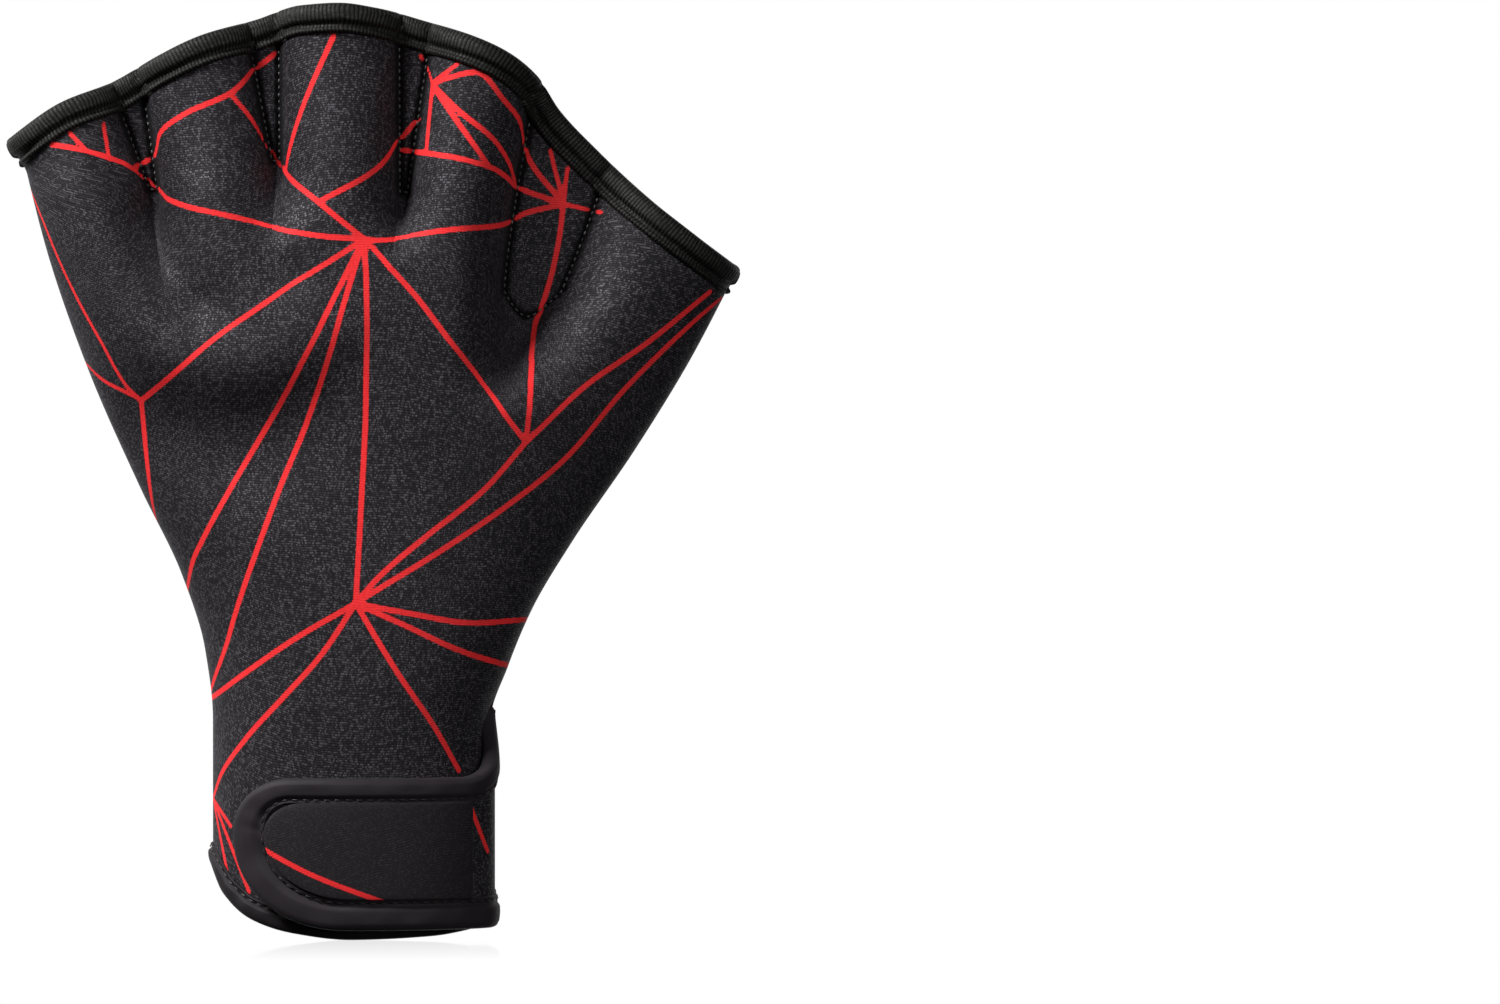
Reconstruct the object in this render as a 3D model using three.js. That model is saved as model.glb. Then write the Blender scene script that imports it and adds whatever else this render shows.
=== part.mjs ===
// A webbed swim glove for the left hand, in its worn form. Millimetres, +Z up from wrist to fingers,
// the back of the hand looks to -Y and the thumb side is +X. The origin is the middle of the wrist
// opening, at the height of the hem's lowest point.
//
// Two neoprene panels, back and palm, meet at the side seams and are stitched together at the webs
// between the fingers. Tape binds the finger edges and the hem. A strap sewn to the palm panel's
// thumb side crosses the slit in the back panel and closes over the back of the wrist.
import * as THREE from "three";

// Outline of the worn glove, seen from the back of the hand
const gloveHeight = 196.7; // hem to the top of the middle finger's edge
const littleReach = 71; // wrist axis to the little finger's outer side
const thumbReach = 81.5; // wrist axis to the thumb's outer side
const wristWidth = 59; // over both walls
const cuffHeight = 46; // the straight part round the wrist
const hemRise = 15; // how far the hem climbs to the little finger's side
const palmDrop = 2.5; // how much lower the palm's finger edge is cut

// Depths over both panels, and how far the hand is cupped towards the palm
const wristDepth = 42;
const palmDepth = 32;
const fingerDepth = 19;
const thumbDepth = 22;
const thumbCup = 14;
const littleCup = 5;
const fingerCurl = 4;

// Cloth and tape
const wall = 2; // neoprene with jersey on both faces
const seamGap = 0.3; // between two panels that are sewn edge to edge
const clearance = 0.3; // between the tape and what it wraps
const tape = 0.6;
const edgeLeg = 5; // how far the finger tape reaches down the outside
const edgeInnerLeg = 3.5;
const edgeRoll = 0.5; // how much the finger tape swells
const hemLeg = 4.2;
const spreadRun = 8; // the panels part over this height to let the tape in at the webs

// The slit in the back panel, under the strap
const slitTop = 54;
const slitRun = 10; // height over which it opens to its full width
const slitInset = 4; // how far the back panel stops short of the side

// The strap
const strapLength = 70; // along its curve, from the side seam to the tip
const strapBottom = 3;
const strapTop = 33.4;
const strapTipHeight = 20.5; // height of the tip's foremost point
const strapTipUpper = 13; // length of the tip's curve above that point
const strapTipLower = 22;
const strapWall = 2;
const flareRise = 15; // the strap's upper edge sweeps up to the slit
const flareRun = 14;
const rootRise = 2;
const rootRun = 10;
const strapLeg = 4.4; // how far the strap's tape reaches over its faces
const strapRoll = 0.4;
const taperEnd = 0.3; // share of the tape's leg that is left where it runs into the seam
const patchWall = 0.8;
const patchStart = 17.5; // the patch's straight end, along the strap
const hookWall = 1.4;
const hookLength = 34;

// Half-width of each side's flare, as a share of the way from the cuff to the side's reach.
// "at" is the share of the height from the cuff to the top of that side.
const FLARE = [
  { at: -0.1, little: 0, thumb: 0 },
  { at: 0, little: 0, thumb: 0 },
  { at: 0.12, little: 0.04, thumb: 0.07 },
  { at: 0.25, little: 0.16, thumb: 0.17 },
  { at: 0.4, little: 0.375, thumb: 0.333 },
  { at: 0.6, little: 0.639, thumb: 0.583 },
  { at: 0.8, little: 0.848, thumb: 0.808 },
  { at: 1, little: 1, thumb: 1 },
];

// The finger edge: "across" is a share of the reach on that side, "up" a share of the height.
const EDGE = [
  { across: -1, up: 0.86 },
  { across: -0.86, up: 0.894 },
  { across: -0.717, up: 0.9146 },
  { across: -0.573, up: 0.9436 },
  { across: -0.43, up: 0.9675 },
  { across: -0.287, up: 0.982 },
  { across: -0.144, up: 0.998 },
  { across: -0.035, up: 1 },
  { across: 0.063, up: 0.995 },
  { across: 0.188, up: 0.981 },
  { across: 0.312, up: 0.9654 },
  { across: 0.406, up: 0.9466 },
  { across: 0.469, up: 0.9253 },
  { across: 0.53, up: 0.887 },
  { across: 0.625, up: 0.845 },
  { across: 0.75, up: 0.7966 },
  { across: 0.874, up: 0.755 },
  { across: 1, up: 0.7158 },
];

// The four webs from the little finger to the thumb, each a stitched strip from the finger edge down
// to its foot. "across" is a share of the reach on that side, "up" of the height and the widths of the
// wrist's width. "bend" below 1 widens a web early.
const WEB_TOPS = [
  { across: -0.68, up: 0.927, width: 0.122, bend: 1 },
  { across: -0.269, up: 0.989, width: 0.122, bend: 1 },
  { across: 0.167, up: 0.99, width: 0.122, bend: 1 },
  { across: 0.58, up: 0.871, width: 0.335, bend: 0.5 },
];

// The webs' feet. "round" is how much higher the foot is at its two edges and "crease" how far the
// crease below it takes to fade, both as shares of the wrist's width. "cuff" is where the line meets
// the cuff, as a share of the cuff's width.
const WEB_FEET = [
  { across: -0.594, up: 0.804, width: 0.027, round: 0, crease: 0.62, cuff: 0.155 },
  { across: -0.227, up: 0.835, width: 0.027, round: 0, crease: 0.55, cuff: 0.335 },
  { across: 0.135, up: 0.801, width: 0.027, round: 0, crease: 0.55, cuff: 0.515 },
  { across: 0.453, up: 0.667, width: 0.13, round: 0.09, crease: 0.6, cuff: 0.72 },
];

// The hand's cup grows up to this share of the height, over these shares of the width at each side.
const CUP_UP = 0.6;
const CUP_THUMB = 0.5;
const CUP_LITTLE = 0.4;

// How the depth passes from wrist to palm to fingers, and how much of the width is rounded off at
// each side. "level" runs from 0 at the top of the cuff to 1 at the finger edge.
const DEPTHS = [
  { level: -0.1, wrist: 1, palm: 0, finger: 0, little: 0.5, thumb: 0.5 },
  { level: 0, wrist: 1, palm: 0, finger: 0, little: 0.5, thumb: 0.5 },
  { level: 0.15, wrist: 0.7, palm: 0.3, finger: 0, little: 0.42, thumb: 0.45 },
  { level: 0.35, wrist: 0.15, palm: 0.85, finger: 0, little: 0.25, thumb: 0.36 },
  { level: 0.55, wrist: 0, palm: 1, finger: 0, little: 0.17, thumb: 0.28 },
  { level: 0.75, wrist: 0, palm: 0.7, finger: 0.3, little: 0.11, thumb: 0.19 },
  { level: 0.9, wrist: 0, palm: 0.2, finger: 0.8, little: 0.075, thumb: 0.12 },
  { level: 1, wrist: 0, palm: 0, finger: 1, little: 0.06, thumb: 0.1 },
];

// The hem's height round the cuff, as a share of its rise; "across" runs from the little finger's
// side to the thumb's.
const HEM = [
  { across: 0, back: 1, palm: 1 },
  { across: 0.05, back: 0.58, palm: 0.95 },
  { across: 0.15, back: 0.25, palm: 0.82 },
  { across: 0.3, back: 0.08, palm: 0.65 },
  { across: 0.5, back: 0, palm: 0.45 },
  { across: 0.8, back: 0.04, palm: 0.26 },
  { across: 1, back: 0.16, palm: 0.16 },
];

// The main folds and dents of the back panel, each along a line from "a" to "b" seen from the back of
// the hand: a ridge from the little finger's root that turns under the ring finger, the hollow above it
// and the dent below. "across" is a share of the reach on that side and "up" of the height; "width" is
// the half-width as a share of the wrist's, and "lift" how far the cloth stands out, of the palm's depth.
const FOLDS = [
  { a: { across: -0.746, up: 0.793 }, b: { across: -0.62, up: 0.691 }, width: 0.127, lift: 0.08 },
  { a: { across: -0.62, up: 0.681 }, b: { across: -0.169, up: 0.666 }, width: 0.127, lift: 0.08 },
  { a: { across: -0.493, up: 0.73 }, b: { across: -0.26, up: 0.735 }, width: 0.085, lift: -0.07 },
  { a: { across: -0.662, up: 0.61 }, b: { across: -0.535, up: 0.5186 }, width: 0.11, lift: -0.05 },
];

// Mesh columns in each finger and web from the little finger to the thumb, and rows between the tapes
const COLUMN_STEPS = [7, 2, 5, 2, 5, 2, 5, 4, 8];
const BODY_ROWS = 13;
const ROW_BIAS = 1.35; // above 1 the rows lie closer together near the fingers
const TIP_STEPS = 12;
const HEM_STEPS = 44;
const CUFF_STEPS = 720; // places on the unrolled cuff
const NUDGE = 1e-3; // step for slopes
const HEIGHT_ERROR = 1e-7; // how closely a column's top is found
const THUMB_COLUMN = 7; // the depth turns from the fingers' into the thumb's from this column on
const THUMB_RUN = 1.5; // over this many columns
const DROP_RUN = 0.125; // share of the columns over which the palm's edge drops from the side seams

// The tape's section: where its outer leg swells most, as a share of the leg, and the rounded corners
// of its fold, as shares of the tape's thickness and half-width.
const SWELL_AT = 0.45;
const CORNER_OUT = 0.85;
const CORNER_UP = 0.6;

const BACK = -1;
const PALM = 1;
const lerp = THREE.MathUtils.lerp;
const smoothstep = (x) => THREE.MathUtils.smoothstep(x, 0, 1);
const clamp01 = (x) => THREE.MathUtils.clamp(x, 0, 1);

// A smooth curve through a table's rows that never overshoots, and runs on straight past its ends.
function through(rows, key, column) {
  const x = rows.map((row) => row[key]);
  const y = rows.map((row) => row[column]);
  const last = x.length - 1;
  const slope = x.slice(1).map((right, i) => (y[i + 1] - y[i]) / (right - x[i]));
  const tangent = x.map((_, i) => {
    if (i === 0) return slope[0];
    if (i === last) return slope[last - 1];
    if (slope[i - 1] * slope[i] <= 0) return 0;
    const before = x[i] - x[i - 1];
    const after = x[i + 1] - x[i];
    const weights = [2 * after + before, after + 2 * before];
    return (3 * (before + after)) / (weights[0] / slope[i - 1] + weights[1] / slope[i]);
  });
  return (at) => {
    if (at <= x[0]) return y[0] + (at - x[0]) * tangent[0];
    if (at >= x[last]) return y[last] + (at - x[last]) * tangent[last];
    const i = x.findIndex((right) => at < right) - 1;
    const step = x[i + 1] - x[i];
    const t = (at - x[i]) / step;
    const rise = y[i + 1] - y[i];
    const early = step * tangent[i];
    const late = step * tangent[i + 1];
    return y[i] + t * early + t * t * (3 * rise - 2 * early - late) + t ** 3 * (early + late - 2 * rise);
  };
}

const reachOn = (across) => (across < 0 ? littleReach : thumbReach);
const placeOf = ({ across, up }) => ({ x: across * reachOn(across), z: up * gloveHeight });
const edgeHeight = through(EDGE.map(placeOf), "x", "z");
const flareLittle = through(FLARE, "at", "little");
const flareThumb = through(FLARE, "at", "thumb");
const depthOf = {};
for (const column of ["wrist", "palm", "finger", "little", "thumb"]) {
  depthOf[column] = through(DEPTHS, "level", column);
}
const hemBack = through(HEM, "across", "back");
const hemPalm = through(HEM, "across", "palm");

// The left and right limits of the panels' middle surface at a height.
function sides(z) {
  const half = wristWidth / 2;
  const little = flareLittle((z - cuffHeight) / (edgeHeight(-littleReach) - cuffHeight));
  const thumb = flareThumb((z - cuffHeight) / (edgeHeight(thumbReach) - cuffHeight));
  return {
    left: -half - Math.max(0, little) * (littleReach - half) + wall / 2,
    right: half + Math.max(0, thumb) * (thumbReach - half) - wall / 2,
  };
}

const webs = WEB_TOPS.map((top, i) => {
  const foot = WEB_FEET[i];
  const footAt = placeOf(foot);
  const side = sides(footAt.z);
  return {
    topAt: placeOf(top),
    topWidth: top.width * wristWidth,
    bend: top.bend,
    footAt,
    footWidth: foot.width * wristWidth,
    footShare: (footAt.x - side.left) / (side.right - side.left),
    cuffShare: foot.cuff,
    roundHeight: foot.round * wristWidth,
    creaseLength: foot.crease * wristWidth,
  };
});

// The line of one seam: 0 is the little finger's side, 9 the thumb's, and the eight between them are
// the two edges of each web.
function seamX(seam, z) {
  const side = sides(z);
  if (seam === 0) return side.left;
  if (seam === 2 * webs.length + 1) return side.right;
  const web = webs[Math.floor((seam - 1) / 2)];
  const hand = seam % 2 ? -0.5 : 0.5;
  if (z >= web.footAt.z) {
    const up = (z - web.footAt.z) / (web.topAt.z - web.footAt.z);
    const width = lerp(web.footWidth, web.topWidth, Math.min(up, 1) ** web.bend);
    return lerp(web.footAt.x, web.topAt.x, up) + hand * width;
  }
  const up = clamp01((z - cuffHeight) / (web.footAt.z - cuffHeight));
  const middle = lerp(side.left, side.right, lerp(web.cuffShare, web.footShare, up));
  return middle + hand * web.footWidth;
}

// A column number from 0 to 9 is a place across the glove: its whole part is the finger or web, and
// the rest is how far across that one. The outer columns close up towards the sides.
const FINGERS = COLUMN_STEPS.length;
function split(column) {
  const part = Math.min(Math.floor(column), FINGERS - 1);
  const along = column - part;
  if (part === 0) return { part, share: 1 - Math.cos((along * Math.PI) / 2) };
  if (part === FINGERS - 1) return { part, share: Math.sin((along * Math.PI) / 2) };
  return { part, share: along };
}

function columnX(column, z) {
  const { part, share } = split(column);
  return lerp(seamX(part, z), seamX(part + 1, z), share);
}

// The height at which a column meets the finger edge of the back panel.
const topCache = new Map();
function topOf(column) {
  if (!topCache.has(column)) {
    let low = cuffHeight;
    let high = 2 * gloveHeight;
    while (high - low > HEIGHT_ERROR) {
      const middle = (low + high) / 2;
      if (edgeHeight(columnX(column, middle)) > middle) low = middle;
      else high = middle;
    }
    topCache.set(column, low);
  }
  return topCache.get(column);
}

// The palm's finger edge is lower, except at the side seams.
function edgeOf(side, column) {
  const across = column / FINGERS;
  const drop = side === PALM ? palmDrop * smoothstep(Math.min(across, 1 - across) / DROP_RUN) : 0;
  return topOf(column) - drop;
}

// The height of a panel's hem, which stands clear of the ground by its tape.
const hemAt = (side, across) => clearance + tape + hemRise * (side === BACK ? hemBack : hemPalm)(across);
function hemOf(side, column) {
  const { left, right } = sides(0);
  return hemAt(side, (columnX(column, 0) - left) / (right - left));
}

// How far the middle between the two panels lies towards the palm.
function cup(x, z) {
  const side = sides(z);
  const across = clamp01((x - side.left) / (side.right - side.left));
  const up = clamp01((z - cuffHeight) / (gloveHeight - cuffHeight));
  const rise = smoothstep(up / CUP_UP);
  const thumb = thumbCup * smoothstep(1 - (1 - across) / CUP_THUMB);
  const little = littleCup * smoothstep(1 - across / CUP_LITTLE);
  return rise * (thumb + little) + fingerCurl * up * up;
}

// How tightly a web pulls the panels together: 1 where they are stitched, fading down its crease.
function pull(web, z, across) {
  const foot = web.footAt.z + web.roundHeight * (2 * across - 1) ** 2;
  return 1 - smoothstep((foot - z) / web.creaseLength);
}

// How open the glove is at a place across one finger or web, from 0 at a seam to 1 mid-finger.
function openness(part, share, z) {
  if (part % 2) return 1 - pull(webs[(part - 1) / 2], z, share);
  let open = 1;
  if (part > 0) open *= 1 - pull(webs[part / 2 - 1], z, 1) * (1 - Math.min(1, 2 * share)) ** 2;
  if (part < FINGERS - 1) open *= 1 - pull(webs[part / 2], z, 0) * (1 - Math.min(1, 2 - 2 * share)) ** 2;
  return open;
}

const folds = FOLDS.map(({ a, b, width, lift }) => {
  const from = placeOf(a);
  const to = placeOf(b);
  const line = new THREE.Line3(new THREE.Vector3(from.x, 0, from.z), new THREE.Vector3(to.x, 0, to.z));
  return { line, width: width * wristWidth, lift: lift * palmDepth };
});

// How far the folds lift the back panel: a bell across each line, rounded off past its ends.
function foldLift(x, z) {
  const place = new THREE.Vector3(x, 0, z);
  const nearest = new THREE.Vector3();
  return folds.reduce((sum, { line, width, lift }) => {
    const off = line.closestPointToPoint(place, true, nearest).distanceTo(place);
    return sum + lift * Math.exp(-((off / width) ** 2));
  }, 0);
}

const roundOff = (share) => (share < 1 ? Math.sqrt(Math.max(0, share * (2 - share))) : 1);

// Half the distance between the middle surfaces of the two panels.
function halfDepth(side, column, x, z) {
  const { part, share } = split(column);
  const level = (z - cuffHeight) / (topOf(column) - cuffHeight);
  const { left, right } = sides(z);
  const width = right - left;
  const thumbness = smoothstep((column - THUMB_COLUMN) / THUMB_RUN);
  const depth =
    wristDepth * depthOf.wrist(level) +
    palmDepth * depthOf.palm(level) +
    lerp(fingerDepth, thumbDepth, thumbness) * depthOf.finger(level);
  const open = (depth - wall - seamGap) / 2;
  const rounding =
    roundOff((x - left) / (width * depthOf.little(level))) *
    roundOff((right - x) / (width * depthOf.thumb(level)));
  const below = edgeOf(side, column) - z - edgeInnerLeg;
  const closed = wall / 2 + (tape + clearance) * (1 - smoothstep(below / spreadRun));
  const slopeX = (cup(x + NUDGE, z) - cup(x - NUDGE, z)) / (2 * NUDGE);
  const slopeZ = (cup(x, z + NUDGE) - cup(x, z - NUDGE)) / (2 * NUDGE);
  const lean = Math.hypot(1, slopeX, slopeZ);
  const fold = side === BACK ? foldLift(x, z) : 0;
  return seamGap / 2 + rounding * lean * lerp(closed, open + fold, openness(part, share, z));
}

// Below its top the slit cuts the back panel's last columns short of the side.
function columnAtSlit(side, column, z) {
  const first = FINGERS - 1;
  if (side !== BACK || column <= first || z >= slitTop) return column;
  const open = Math.min(1, (slitTop - z) / slitRun) ** 2;
  const width = seamX(first + 1, z) - seamX(first, z);
  const end = Math.asin(1 - (slitInset * open) / width) / (Math.PI / 2);
  return first + (column - first) * end;
}

// A point of a panel's middle surface.
function middlePoint(side, column, z) {
  const shown = columnAtSlit(side, column, z);
  const x = columnX(shown, z);
  return new THREE.Vector3(x, cup(x, z) + side * halfDepth(side, shown, x, z), z);
}

// The frame of a panel at a place: the point, its normal outwards and the way up the column.
function panelFrame(side, column, z) {
  const east = middlePoint(side, Math.min(column + NUDGE, FINGERS), z);
  const west = middlePoint(side, Math.max(column - NUDGE, 0), z);
  const highest = Math.min(z + NUDGE, topOf(column));
  const up = middlePoint(side, column, highest).sub(middlePoint(side, column, z - NUDGE)).normalize();
  const across = east.sub(west).normalize();
  const normal = up.clone().cross(across).normalize().multiplyScalar(side);
  return { point: middlePoint(side, column, z), normal, up };
}

// A closed solid between two surfaces that are given on the same grid of rows and columns.
function sheetSolid(name, material, rows, columns, outside, inside) {
  const points = [];
  for (const face of [outside, inside]) {
    for (let i = 0; i < rows; i++) {
      for (let j = 0; j < columns; j++) points.push(face(i, j));
    }
  }
  const at = (face, i, j) => face * rows * columns + i * columns + j;
  const index = [];
  const quad = (a, b, c, d) => index.push(a, b, c, a, c, d);
  const end = columns - 1;
  const top = rows - 1;
  for (let i = 0; i < top; i++) {
    for (let j = 0; j < end; j++) {
      quad(at(0, i, j), at(0, i, j + 1), at(0, i + 1, j + 1), at(0, i + 1, j));
      quad(at(1, i, j), at(1, i + 1, j), at(1, i + 1, j + 1), at(1, i, j + 1));
    }
    quad(at(0, i, 0), at(0, i + 1, 0), at(1, i + 1, 0), at(1, i, 0));
    quad(at(0, i + 1, end), at(0, i, end), at(1, i, end), at(1, i + 1, end));
  }
  for (let j = 0; j < end; j++) {
    quad(at(0, 0, j + 1), at(0, 0, j), at(1, 0, j), at(1, 0, j + 1));
    quad(at(0, top, j), at(0, top, j + 1), at(1, top, j + 1), at(1, top, j));
  }
  let volume = 0;
  for (let k = 0; k < index.length; k += 3) {
    const [a, b, c] = [points[index[k]], points[index[k + 1]], points[index[k + 2]]];
    volume += a.dot(b.clone().cross(c));
  }
  if (volume < 0) index.reverse();
  const geometry = new THREE.BufferGeometry().setFromPoints(points);
  geometry.setIndex(index);
  geometry.computeVertexNormals();
  const mesh = new THREE.Mesh(geometry, material);
  mesh.name = name;
  return mesh;
}

// The columns of a panel, with steps of equal share in each finger and web.
const columns = [0];
COLUMN_STEPS.forEach((steps, part) => {
  for (let k = 1; k <= steps; k++) columns.push(part + k / steps);
});

// The heights of a panel's rows on one column: at the ends and legs of both tapes, and between them.
function rowHeights(side, column) {
  const top = edgeOf(side, column);
  const { up } = panelFrame(side, column, top);
  const hem = hemOf(side, column);
  const first = hem + hemLeg;
  const last = top - edgeLeg * up.z;
  const between = Array.from({ length: BODY_ROWS }, (_, k) => {
    const share = (k + 1) / (BODY_ROWS + 1);
    return lerp(first, last, 1 - (1 - share) ** ROW_BIAS);
  });
  return [hem, first, ...between, last, top - (edgeLeg / 2) * up.z, top];
}

function panel(name, material, side) {
  const frames = columns.map((column) => rowHeights(side, column).map((z) => panelFrame(side, column, z)));
  const offset = (n) => (i, j) => {
    const { point, normal } = frames[j][i];
    return point.clone().addScaledVector(normal, n);
  };
  return sheetSolid(name, material, frames[0].length, columns.length, offset(wall / 2), offset(-wall / 2));
}

// The section of a tape folded over an edge, as two lines of the same count: n is out from the middle
// of what it wraps, e is outwards past its edge. Both run from the outer leg's end to the inner one's.
function tapeSection(wrapped, leg, innerLeg, roll) {
  const near = wrapped / 2 + clearance;
  const far = near + tape;
  const cap = clearance + tape;
  return {
    inside: [
      { n: near, e: -leg },
      { n: near, e: -leg * SWELL_AT },
      { n: near, e: clearance },
      { n: 0, e: clearance },
      { n: -near, e: clearance },
      { n: -near, e: -innerLeg },
    ],
    outside: [
      { n: far, e: -leg },
      { n: far + roll, e: -leg * SWELL_AT },
      { n: far * CORNER_OUT, e: clearance + tape * CORNER_UP },
      { n: 0, e: cap },
      { n: -far * CORNER_OUT, e: clearance + tape * CORNER_UP },
      { n: -far, e: -innerLeg },
    ],
  };
}

// The tape on the finger edge of one panel.
function fingerBinding(name, material, side) {
  const section = tapeSection(wall, edgeLeg, edgeInnerLeg, edgeRoll);
  const place = (column, { n, e }) => {
    const top = edgeOf(side, column);
    const edge = panelFrame(side, column, top);
    if (e >= 0) return edge.point.addScaledVector(edge.up, e).addScaledVector(edge.normal, n);
    const { point, normal } = panelFrame(side, column, top + e * edge.up.z);
    return point.addScaledVector(normal, n);
  };
  return sheetSolid(
    name,
    material,
    section.inside.length,
    columns.length,
    (i, j) => place(columns[j], section.outside[i]),
    (i, j) => place(columns[j], section.inside[i]),
  );
}

// The cuff unrolled: a place along it, a height and an offset outwards give a point in space. It
// starts at the thumb's side, runs over the back of the wrist and returns along the palm. "lift"
// raises it off the panels as a function of the length along the panels themselves.
function unrolledCuff(lift) {
  const steps = CUFF_STEPS;
  const { right } = sides(0);
  const open = (wristDepth - wall - seamGap) / 2;
  const base = Array.from({ length: steps + 1 }, (_, k) => {
    const angle = (2 * Math.PI * k) / steps;
    const sine = k === 0 || k === steps ? 0 : Math.sin(angle);
    const half = 2 * k === steps ? 0 : Math.sign(sine || 1 - k);
    return new THREE.Vector2(right * Math.cos(angle), -open * sine - (half * seamGap) / 2);
  });
  const lengths = (points) => {
    let sum = 0;
    return points.map((p, k) => (sum += k ? p.distanceTo(points[k - 1]) : 0));
  };
  const normals = (points) =>
    points.map((_, k) => {
      const next = points[Math.min(k + 1, steps)];
      const last = points[Math.max(k - 1, 0)];
      return new THREE.Vector2(last.y - next.y, next.x - last.x).normalize();
    });
  const along = lengths(base);
  const outward = normals(base);
  const curve = base.map((p, k) => p.clone().addScaledVector(outward[k], lift(along[k])));
  const length = lengths(curve);
  const facing = normals(curve);
  const find = (a) => {
    const next = length.findIndex((reached) => reached > a);
    const low = (next < 0 ? steps : Math.max(next, 1)) - 1;
    return { low, t: (a - length[low]) / (length[low + 1] - length[low]) };
  };
  return {
    total: length[steps],
    across: (a) => {
      const { low, t } = find(a);
      return (1 + Math.cos((2 * Math.PI * (low + t)) / steps)) / 2;
    },
    lengthAt: (angle) => length[Math.round((angle / (2 * Math.PI)) * steps)],
    point: (a, z, n) => {
      const { low, t } = find(a);
      const normal = facing[low].clone().lerp(facing[low + 1], t).normalize();
      const p = curve[low].clone().lerp(curve[low + 1], t).addScaledVector(normal, n);
      return new THREE.Vector3(p.x, p.y, z);
    },
  };
}

const cuff = unrolledCuff(() => 0);
const slitAngle = Math.acos(1 - slitInset / sides(0).right);
const slitLength = cuff.lengthAt(slitAngle);
const stackUnderStrap = 2 * (clearance + tape) + seamGap; // hem tape, gap and the strap's own tape
const strapLift = wall / 2 + stackUnderStrap + strapWall / 2;
const strapCuff = unrolledCuff((a) => strapLift * smoothstep(a / (slitLength - seamGap)));

// A tape wrapped round a line drawn on an unrolled cuff. Each place on the line has its length along
// the cuff and its height; the tape's section stands square to the line, on its right-hand side. Its
// legs taper where they would reach past the seam that the line starts from.
function cuffBinding(name, material, surface, line, leg, section) {
  const seam = line[0].a;
  const ends = [0, line.length - 1];
  const place = (k, { n, e }) => {
    const { a, z } = line[k];
    const before = line[Math.max(k - 1, 0)];
    const after = line[Math.min(k + 1, line.length - 1)];
    const run = new THREE.Vector2(after.a - before.a, after.z - before.z).normalize();
    const square = new THREE.Vector2(0, -Math.sign(run.x));
    const room = run.y > 0 ? (a - seam) / (leg * run.y) : 1;
    const shown = e < 0 ? e * THREE.MathUtils.clamp(room, taperEnd, 1) : e;
    const out = ends.includes(k) ? square : new THREE.Vector2(run.y, -run.x);
    return surface.point(Math.max(seam, a + shown * out.x), z + shown * out.y, n);
  };
  return sheetSolid(
    name,
    material,
    section.inside.length,
    line.length,
    (i, k) => place(k, section.outside[i]),
    (i, k) => place(k, section.inside[i]),
  );
}

// The hem's line runs from the slit over the back of the wrist and on round the palm.
function hemBinding(name, material) {
  const line = Array.from({ length: HEM_STEPS + 1 }, (_, k) => {
    const a = lerp(slitLength, cuff.total, k / HEM_STEPS);
    return { a, z: hemAt(a < cuff.total / 2 ? BACK : PALM, cuff.across(a)) };
  });
  return cuffBinding(name, material, cuff, line, hemLeg, tapeSection(wall, hemLeg, hemLeg, 0));
}

const upperEdge = (a) => strapTop + flareRise * Math.max(0, 1 - a / flareRun) ** 2;
const lowerEdge = (a) => strapBottom + rootRise * Math.max(0, 1 - a / rootRun) ** 2;

// The strap's outline, drawn in by an inset: a row number gives where it meets the rounded tip.
function strapTip(row, inset) {
  const angle = ((row / TIP_STEPS) * 2 - 1) * (Math.PI / 2);
  const reach = (Math.sin(angle) < 0 ? strapTipLower : strapTipUpper) - inset;
  return { end: strapLength - inset - reach * (1 - Math.cos(angle)), sine: Math.sin(angle) };
}

function strapHeight(a, sine, inset) {
  const edge = sine < 0 ? lowerEdge(a) + inset : upperEdge(a) - inset;
  return lerp(strapTipHeight, edge, Math.abs(sine));
}

// A layer of the strap: a sheet with the strap's rounded tip, between two offsets from its middle.
function strapLayer(name, material, { start, inset, steps, bias, outer, inner }) {
  const place = (row, step, n) => {
    const { end, sine } = strapTip(row, inset);
    const a = lerp(start, end, (step / steps) ** bias);
    return strapCuff.point(a, strapHeight(a, sine, inset), n);
  };
  return sheetSolid(
    name,
    material,
    TIP_STEPS + 1,
    steps + 1,
    (i, j) => place(i, j, outer),
    (i, j) => place(i, j, inner),
  );
}

function strapBinding(name, material) {
  const line = [];
  const runSteps = 18;
  const runBias = 1.5; // the places lie closer where the strap climbs out of the slit
  const lowerEnd = strapTip(0, 0).end;
  const upperEnd = strapTip(TIP_STEPS, 0).end;
  for (let k = 0; k < runSteps; k++) {
    const a = lerp(seamGap, lowerEnd, (k / runSteps) ** runBias);
    line.push({ a, z: lowerEdge(a) });
  }
  for (let row = 0; row <= TIP_STEPS; row++) {
    const { end, sine } = strapTip(row, 0);
    line.push({ a: end, z: strapHeight(end, sine, 0) });
  }
  for (let k = runSteps - 1; k >= 0; k--) {
    const a = lerp(seamGap, upperEnd, (k / runSteps) ** runBias);
    line.push({ a, z: upperEdge(a) });
  }
  const section = tapeSection(strapWall, strapLeg, strapLeg, strapRoll);
  return cuffBinding(name, material, strapCuff, line, strapLeg, section);
}

const finish = (color, roughness) => new THREE.MeshStandardMaterial({ color, roughness, metalness: 0 });
const printedJersey = finish(0x1d1b1f, 0.75);
const plainJersey = finish(0x18171a, 0.8);
const ribbedTape = finish(0x171715, 0.7);
const smoothTape = finish(0x1f1c20, 0.6);
const patchCloth = finish(0x1a181b, 0.85);
const hookTape = finish(0x121214, 0.9);

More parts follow.
